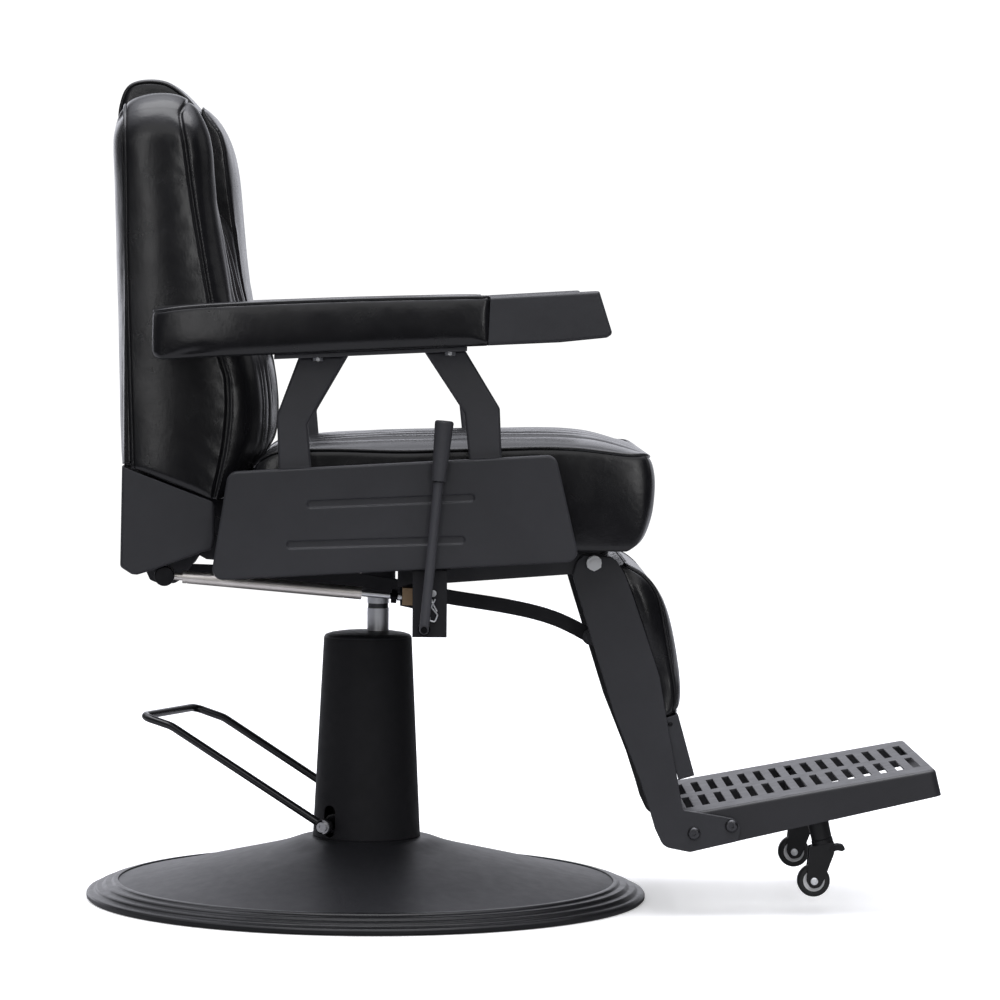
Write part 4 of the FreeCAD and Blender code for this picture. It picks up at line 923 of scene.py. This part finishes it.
# ------------------------------------------------------------------ backrest side bolsters
side_seam = pch((507, -184), (525, -180.5), (563, -172.6), (590, -169), (620, -167), (652, -168.3), (676, -175.6), (710, -182.5), (745, -189.1), (821, -202.6), (889, -213.7), (933, -219.8), (960, -224.5), (983, -228))
ridge_x = pch((507, -172), (516, -160), (530, -150), (545, -143), (559, -136.5), (579, -130), (599, -127.9), (619, -128), (639, -129.5), (659, -132.3), (677, -136), (710, -150), (749, -166.7), (780, -173.3), (811, -178), (839, -181.5), (866, -184.8), (894, -186.7), (919, -188.2), (941, -191.6), (958, -197.2), (970, -202.5), (978, -208.5), (985, -219))
fan_y = (pch((507, -198), (560, -195), (650, -186), (750, -176), (849, -166), (983, -170)),
         pch((507, -157), (560, -156), (650, -154), (750, -152), (849, -150), (983, -153)),
         pch((507, -114), (560, -116), (650, -120), (750, -128), (849, -136), (940, -137), (983, -146)))
fan_x = (pch((507, -172), (530, -148), (545, -141), (574, -127.5), (598, -126), (618, -125.7), (638, -127.2), (658, -130), (676, -134.1), (710, -148), (749, -162.4), (784, -170), (815, -176.7), (840, -182)),
         pch((507, -172), (530, -147), (545, -139), (573, -123.5), (598, -120.5), (618, -120.4), (638, -122), (658, -125), (676, -128.6), (710, -143), (749, -158.3), (786, -167.2), (815, -174.8), (844, -183)),
         pch((507, -172), (530, -146), (545, -138), (576, -120.5), (597, -117.5), (617, -117), (637, -118.5), (657, -121.5), (676, -125.8), (710, -139), (749, -153.2), (786, -163.6), (821, -174), (846, -184)))
edge_y = pch((507, 66), (560, 72), (650, 84), (750, 100), (849, 114), (900, 117), (983, 117))
edge_x = pch((507, -172), (530, -146), (545, -139), (562, -131), (576, -123), (597, -119), (617, -118.5), (637, -120), (657, -123), (676, -127.5), (710, -139), (749, -151.5), (779, -157), (812, -161), (848, -166.5), (868, -169.5), (896, -173), (915, -175), (933, -177.5), (950, -182), (963, -189.5), (975, -198.5), (983, -205))
rear_x = pch((540, -279.2), (710, -285), (805, -287.8), (912, -289.5), (971, -292), (985, -293))


def corner(y, z, yc, zc, r):
    a, b = min(max((yc - y) / r, 0), 1), min(max((z - zc) / r, 0), 1)
    if a > 0 and b > 0:
        return yc - r * a * math.sqrt(1 - b * b / 2), zc + r * b * math.sqrt(1 - a * a / 2)
    return y, z


def bolster_columns(z):
    """(Y, X) of the lines across the front at a height: side seam, ridge, three sewn lines, inner edge."""
    w = sstep(824, 882, z)
    top = 1 - sstep(955, 983, z)
    xr = ridge_x(z)
    groove = 3.0 * (1 - w) * sstep(512, 545, z)
    cols = [(-243.0, side_seam(z)), (-205.0, xr)]
    for k, drop in enumerate((4.0, 9.0, 13.0)):
        cols.append((fan_y[k](z), lerp(fan_x[k](min(z, 840)) - groove, xr - drop * top, w)))
    yi = -lerp(edge_y(z) + 1.2, 138.6, sstep(938, 962, z))
    cols.append((yi, lerp(edge_x(z) - 4.5, xr - 15.0 * top, w)))
    return cols, w


def bolster_point(u, z):
    cols, w = bolster_columns(z)
    k = min(int(u + 1e-9), 4)
    t = u - k
    (ya, xa), (yb, xb) = cols[k], cols[k + 1]
    if k == 0:
        th = t * math.pi / 2
        return lerp(ya, yb, 1 - math.cos(th)), lerp(xa, xb, math.sin(th) ** 0.92)
    high = (3.6, 4.6, 4.6, 3.4)[k - 1] * (1 - w) * sstep(512, 550, z)
    flat = 1.6 * w
    return lerp(ya, yb, t), lerp(xa, xb, t) + (high - flat * (k < 2)) * (4 * t * (1 - t)) ** 0.75


top_roll = pch((0, 0), (7, 0.37), (15, 0.58), (27, 0.77), (44, 0.96), (50, 1))


def bolster_face(u, v):
    z0 = 508 + 477 * v
    y, x = bolster_point(u, z0)
    a, b = min(max((-193 - y) / 50, 0), 1), min(max((z0 - 935) / 50, 0), 1)
    yy, zz = corner(y, z0, -193, 935, 50)
    rim = lerp(side_seam(zz), -219.0, sstep(966, 985, zz))
    if u == 0 or v == 1:
        return (rim, yy, zz)
    if a > 0 and b > 0:
        p, q = (-193 - yy) / 50, (zz - 935) / 50
        d = max(50 * (1 - math.hypot(p, q)), 0)
        side = math.sin(math.acos(1 - min(d / 38.0, 1))) ** 0.92
        roll = lerp(side, top_roll(d), math.atan2(q, p) / (math.pi / 2))
        x = lerp(lerp(rim, -190.5, roll), x, (1 - a) ** 2)
    return (x, yy, zz)


def bolster_back(u, v):
    z0 = 545 + 434 * v
    y = -243 + 105 * u / 5
    yy, zz = corner(y, z0, -193, 929, 50)
    return (rear_x(zz), yy, zz)


def bolster_wall(t, pf, pb, out, u, v):
    if u == 5:
        path = [(pf[0], pf[1]), (-206.0, pf[1]), (-206.0, -138.6), (pb[0], -138.6)]
        if pf[0] < -205.5:
            path = [(pf[0], -138.6), (pb[0], -138.6)]
        d = [math.dist(a, b) for a, b in zip(path, path[1:])]
        s, k = t * sum(d), 0
        while k < len(d) - 1 and s > d[k]:
            s -= d[k]
            k += 1
        f = s / max(d[k], 1e-6)
        z = lerp(pf[2], pb[2], t)
        if v == 1:
            z += 10.0 * (4 * t * (1 - t)) ** 0.62
        return (lerp(path[k][0], path[k + 1][0], f), lerp(path[k][1], path[k + 1][1], f), z)
    p = lerp(pf, pb, t)
    if v == 0:
        return p
    up = min(max(out[2], 0), 1)
    rise = (4 * t * (1 - t)) ** 0.62
    fade = 1 - sstep(3.6, 5.0, u) * 0.25
    p = p + out * lerp(4.0, 13.0, up ** 1.5) * rise * (fade if v == 1 else 1.0)
    if v == 1:
        p[1] = min(p[1], -138.6)
    return p


BU = lines((0, 2), (0.12, 8), (1, 6), (2, 6), (3, 6), (4, 5), (4.8, 2), (5, 0))
BV = lines((0, 92), (0.97, 4), (1, 0))
bol = Skin(BU, BV, bolster_face, bolster_back, [0.025, 0.06, 0.11] + [0.11 + 0.80 * k / 13 for k in range(1, 14)] + [0.95, 0.98], bolster_wall)
for line in (2, 3, 4):
    col = bol.F[BU.index(line), :]
    bol.pin([a for a, v in zip(col, BV) if 508 + 477 * v < 862], 0.75)
bol.pin_edge(0.8)
bol.pin_back()
for j in range(len(BV)):
    bol.pin(bol.cols[int(bol.F[-1, j])])
for i in range(len(BU)):
    bol.pin(bol.cols[int(bol.F[i, 0])])
bol_o = puff("back_bolster_right", bol, 4.0)

# ------------------------------------------------------------------ backrest middle pad
pad_mid = pch((510, -170), (520, -158), (535, -147), (548, -141), (558, -135.5), (566, -128.5), (576, -121.5), (593, -117.2), (614, -116.4), (634, -118), (655, -121), (675, -126), (710, -137.5), (747, -149.3), (795, -156.5), (841, -161.3), (884, -164.3), (905, -166.8), (931, -172), (945, -177), (963.5, -186.5), (975, -195.5), (981, -203))


def pad_face(u, v):
    z = 510 + 471 * v
    xb, xm = edge_x(z), pad_mid(z)
    xm = max(xm, xb + 0.5)
    g = max(1 - abs(u) ** 3.0, 0) ** 0.55
    zz = z - 5.0 * sstep(930, 981, z) * abs(u) ** 8
    return (lerp(xb, xm, g), edge_y(z) * u * (1 - 0.03 * v ** 20), zz)


def pad_back(u, v):
    z = 512 + 467 * v
    return (-206.4, (edge_y(z) - 0.6) * u, z)


def pad_wall(t, pf, pb, out, u, v):
    p = lerp(pf, pb, t)
    if v == 0 or pf[2] < 600:
        return p
    h = (4 * t * (1 - t)) ** 0.7
    return p + out * (2.6 if v == 1 else 1.6) * h


pad = Skin(lines((-1, 3), (-0.92, 26), (0.92, 3), (1, 0)), lines((0, 88), (0.96, 5), (1, 0)), pad_face, pad_back, [0.05, 0.12, 0.25, 0.45, 0.65, 0.85], pad_wall)
pad.pin_edge(0.8)
pad.pin_back()
pad_o = puff("back_middle_pad", pad, 3.0)

# ------------------------------------------------------------------ headrest
head_top = pch((-305.5, 979), (-304, 990), (-300, 1000), (-293, 1006.6), (-282, 1010.6), (-266, 1011.7), (-250, 1009.8), (-236, 1002.4), (-224, 992), (-215, 982.5), (-209.2, 972))


def head_end(sign):
    def f(u, v):
        x = -305.5 + 96.3 * u
        z = 888.5 + (head_top(x) - 888.5) * v
        dome = (max(1 - abs(2 * u - 1) ** 3, 0) * max(1 - abs(2 * v - 1) ** 3, 0)) ** 0.6
        return (x, sign * (131.0 + 2.0 * dome), z)
    return f


def head_wall(t, pf, pb, out, u, v):
    p = lerp(pf, pb, t)
    h = max(1 - abs(2 * t - 1) ** 5, 0) ** 0.6
    lift = 3.4 if v == 1 else (0.0 if u == 1 else 0.6)
    return p + np.array((out[0] * (0.15 if v != 1 else 0.5), 0, max(out[2], 0))) * lift * h


head = Skin(lines((0, 16), (1, 0)), lines((0, 18), (1, 0)), head_end(-1), head_end(1), 40, head_wall)
head.pin_edge(0.8)
head.pin_back_edge(0.8)
head_o = puff("headrest_leather", head, 1.8)

# ------------------------------------------------------------------ armrest pads
arm_top = pch((-253, 736.5), (-249, 739.5), (-243, 741.0), (-138, 747.0), (37, 754.0), (142, 756.8))


def arm_taper(sx):
    return 1 - 0.28 * (1 - sx) ** 6


def arm_face(x, y):
    t = (y + 298) / 40.0
    sx = (x + 252.5) / 394.5
    yy = -298 + 40 * t * arm_taper(sx)
    xx = x + 5 * abs(t) ** 6 * (1 - sx) ** 20
    droop = (1 - sx) ** 7
    z = arm_top(xx) - 2.8 - 4.2 * droop + (0.9 + 3.8 * droop) * max(1 - t * t, 0) ** 0.6
    return (xx, yy, z - (1.2 if sx == 1 else 0))


def arm_back(x, y):
    t = (y + 298) / 40.0
    sx = (x + 252.5) / 394.5
    xx = lerp(-243.0, 140.2, sx)
    return (xx + 4 * abs(t) ** 6 * (1 - sx) ** 20, -298 + 34.5 * t * arm_taper(sx), 676.6 + 0.0511 * (xx + 240.0))


def arm_wall(t, pf, pb, out, u, v):
    start = 0.84 if u < -252 else 0.915
    h = max((t - start) / (1 - start), 0)
    k = 1 - math.sqrt(max(1 - h * h, 0))
    p = np.array((lerp(pf[0], pb[0], k), lerp(pf[1], pb[1], k), lerp(pf[2], pb[2], t)))
    if u > 141.9:
        return p + np.array((0.9 * (4 * t * (1 - t)) ** 0.5, 0, 0))
    return p + np.array((out[0] * 1.6, out[1] * 1.9, 0)) * (4 * t * (1 - t)) ** 0.7


arm = Skin(lines((-252.5, 3), (-238, 48), (130, 3), (142.0, 0)), lines((-338, 12), (-258, 0)), arm_face, arm_back, [0.05, 0.12, 0.21, 0.32, 0.43, 0.54, 0.65, 0.75, 0.83, 0.88, 0.915, 0.945, 0.97, 0.988], arm_wall)
arm.pin_edge(0.85)
arm.pin_back()
arm_o = puff("armrest_leather_right", arm, 2.2)

# ------------------------------------------------------------------ calf pad
calf_side = polyline((373.0, 248.2), (376.2, 256.5), (376.8, 268), (370.6, 309), (362.4, 355), (355.0, 391), (341, 413.0), (325, 424.5), (309, 431.5))
calf_mid = polyline((378.6, 249.2), (383.8, 255.5), (385.6, 266), (379.4, 305.6), (372.0, 349.6), (365.2, 377), (353.0, 400.5), (335.6, 418.5), (317, 429.5))


def calf_face(u, v):
    g = max(1 - abs(u) ** 9, 0) ** 0.55
    a, b = calf_side(v), calf_mid(v)
    return (lerp(a[0], b[0], g), 171.0 * u, lerp(a[1], b[1], g))


def calf_back(u, v):
    return (lerp(346.8, 294.3, v), 169.0 * u, lerp(241.6, 419.0, v))


def calf_wall(t, pf, pb, out, u, v):
    p = lerp(pf, pb, t) + out * (2.6 if v == 0 else 1.0 if v == 1 else 1.3) * (4 * t * (1 - t)) ** 0.7
    if abs(u) == 1:
        side = 7.5 * sstep(0.2, 0.7, v) * (1 - sstep(0.8, 1.0, v)) + 2.4 * (1 - sstep(0.0, 0.3, v))
        p[1] += u * side * math.exp(-((t - 0.45) / 0.33) ** 2)
    return p


calf = Skin(lines((-1, 7), (-0.92, 34), (0.92, 7), (1, 0)), lines((0, 28), (1, 0)), calf_face, calf_back, 10, calf_wall)
calf.pin_edge(0.8)
calf.pin_back()
calf_o = puff("calf_leather", calf, 3.5)

# ------------------------------------------------------------------ upholstered back panel
panel_rear = pch((549, -295.1), (711.6, -299.7), (785, -302.1), (867, -304.5), (920, -307.0), (940, -307.6), (956, -306.0), (970, -301.0), (979.5, -293.0))
PY = lines((-242, 7), (-206, 10), (-137, 22), (137, 10), (206, 7), (242, 0))
PZ = lines((549, 3), (565, 40), (884, 10), (964, 3), (979.5, 0))


def panel_face(y, z):
    yy, zz = corner(-abs(y), z, -193, 930.5, 49)
    yy = -yy if y > 0 else yy
    edge = max((abs(yy) - 208) / 34.0, 0)
    arc = max((math.hypot(max(abs(yy) - 193, 0), max(zz - 930.5, 0)) - 15) / 34.0, 0) if zz > 930.5 and abs(yy) > 193 else 0
    k = min(max(edge, arc), 1)
    return (min(panel_rear(zz) + 12.5 * k ** 1.7, -290.6), yy, zz)


def panel_back(y, z):
    yy, zz = corner(-abs(y), z, -193, 930.5, 49)
    return (panel_rear(zz) + 14.0, (-yy if y > 0 else yy) * 0.998, zz)


panel = Skin(PY, PZ, panel_face, panel_back, 2, lambda t, pf, pb, out, u, v: lerp(pf, pb, t),
             mask=lambda i, j: not (abs(PY[i] + PY[i + 1]) / 2 < 137 and (PZ[j] + PZ[j + 1]) / 2 > 884))
panel.pin_edge(0.5)
panel.pin_back()
panel_o = puff("back_panel_leather", panel, 1.6)

# ------------------------------------------------------------------ floor of the headrest pocket
LX = lines((-289.5, 5), (-270.5, 14), (-207.4, 0))
LY = lines((-137.4, 14), (-39, 10), (39, 14), (137.4, 0))
liner = Skin(LX, LY, lambda x, y: (x, y, 882.8), lambda x, y: (x, y, 873.2), 3, lambda t, pf, pb, out, u, v: lerp(pf, pb, t),
             mask=lambda i, j: not ((LX[i] + LX[i + 1]) / 2 < -270.5 and abs(LY[j] + LY[j + 1]) / 2 < 39))
liner.pin_edge(0.6)
liner.pin_back()
liner_o = puff("back_pocket_leather", liner, 1.4)

# ------------------------------------------------------------------ simulate, gather, subdivide
simulate()
for k, (o, skin, *_) in enumerate(SOFT):
    seam_ids = [i for ids, _ in skin.seams for i in ids]
    pucker(o, seam_ids, 0.0011, 0.013, 0.011, k + 1)
    subdivide(o)

sew(seat_o, seat.loops[0], 0.0016, 0.006, True)
for y in SEAT_SEAMS:
    sew(seat_o, [int(a) for a in seat.F[:, SV.index(y)]], 0.0016, 0.0065, fade=lambda c: sstep(-0.13, -0.10, c.x) * (1 - sstep(0.325, 0.338, c.x)))
outer = [int(a) for a in bol.F[0, :]] + [int(a) for a in bol.F[1:, -1]]
sew(bol_o, outer, 0.0036, 0.0034)
for line in (2, 3, 4):
    sew(bol_o, [int(a) for a in bol.F[BU.index(line), :]], 0.0034, 0.0044, fade=lambda c: 1 - sstep(0.845, 0.885, c.z))
sew(pad_o, pad.loops[0], 0.0030, 0.0032, True)
sew(head_o, head.loops[0], 0.0022, 0.006, True)
sew(head_o, [head.cols[a][-1] for a in head.loops[0]], 0.0022, 0.006, True)
sew(arm_o, arm.loops[0], 0.0015, 0.005, True)
sew(calf_o, calf.loops[0], 0.0018, 0.006, True)

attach(seat_o, "seat")
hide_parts("seat_cushion")
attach(head_o, "headrest")
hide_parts("headrest_cushion")
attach(calf_o, "footrest")
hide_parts("calf_pad")
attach(panel_o, "backrest")
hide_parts("back_panel")
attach(liner_o, "backrest")
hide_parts("back_cushion")
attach(pad_o, "backrest")
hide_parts("back_cushion")
bol_l = mirrored("back_bolster_left", bol_o)
for o in (bol_o, bol_l):
    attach(o, "backrest")
    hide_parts("back_cushion")
arm_l = mirrored("armrest_leather_left", arm_o)
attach(arm_o, "seat")
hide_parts("armrest_pad_right")
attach(arm_l, "seat")
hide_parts("armrest_pad_left")

# welts and stitching
piping("seat_welt", seat_o, seat.loops[0], 0.0024, "seat", 0.35)
for k, end in enumerate((0, -1)):
    piping("headrest_welt_%d" % k, head_o, [head.cols[a][end] for a in head.loops[0]], 0.0024, "headrest", 0.3)
aw = piping("armrest_welt_right", arm_o, arm.loops[0], 0.0021, "seat", 0.35)
aw2 = mirrored("armrest_welt_left", aw)
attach(aw2, "seat")
piping("calf_welt", calf_o, calf.loops[0], 0.0024, "footrest", 0.35)
rear = [int(bol.cols[int(bol.F[0, j])][-1]) for j in range(len(BV))] + [int(bol.cols[int(bol.F[i, -1])][-1]) for i in range(1, len(BU))]
rw = piping("back_welt_right", bol_o, rear, 0.0023, "backrest", 0.5, closed=False)
rw2 = mirrored("back_welt_left", rw)
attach(rw2, "backrest")
row = [(int(bol.F[1, j]), int(bol.F[2, j]), 0.5) for j in range(1, len(BV) - 8)]
st = stitches("back_stitch_right", bol_o, [row], "backrest")
st2 = mirrored("back_stitch_left", st)
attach(st2, "backrest")


def screw_head(name, centre, side, r, h, body, finish="zinc"):
    """Pan head with a cross recess; side is the sign of its outward Y. Millimetres."""
    n, rings = 48, (0.12, 0.22, 0.32, 0.42, 0.52, 0.62, 0.74, 0.86, 0.95, 1.0)
    V, Fc = [(centre[0], centre[1] + side * h * 0.5, centre[2])], []
    for f in rings:
        for k in range(n):
            x, z = f * math.cos(2 * math.pi * k / n), f * math.sin(2 * math.pi * k / n)
            y = h * math.sqrt(1 - 0.8 * f * f)
            if min(abs(x), abs(z)) < 0.15 and max(abs(x), abs(z)) < 0.66:
                y -= 0.5 * h
            V.append((centre[0] + r * x, centre[1] + side * y, centre[2] + r * z))
    first = len(V)
    for k in range(n):
        V.append((centre[0] + r * math.cos(2 * math.pi * k / n), centre[1] - side * 0.2, centre[2] + r * math.sin(2 * math.pi * k / n)))
    for k in range(n):
        Fc.append((0, 1 + k, 1 + (k + 1) % n))
        for q in range(len(rings)):
            a, b = 1 + q * n, 1 + (q + 1) * n
            Fc.append((a + k, b + k, b + (k + 1) % n, a + (k + 1) % n))
    Fc.append(tuple(first + k for k in range(n)))
    o = add_mesh(name, np.array(V) * MM, Fc, MAT[finish], smooth=False)
    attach(o, body)
    return o


for tag, y in (("right", -140.0), ("left", 140.0)):
    for side, word in ((-1, "near"), (1, "far")):
        screw_head("axle_screw_%s_%s" % (tag, word), (549.6, y + side * 13.6, 41.5), side, 4.5, 1.7, "caster_" + tag, "screw")
for tag, side in (("right", -1), ("left", 1)):
    screw_head("cover_screw_" + tag, (369.8, side * 176.0, 236.0), side, 2.8, 1.1, "footrest", "oxide")
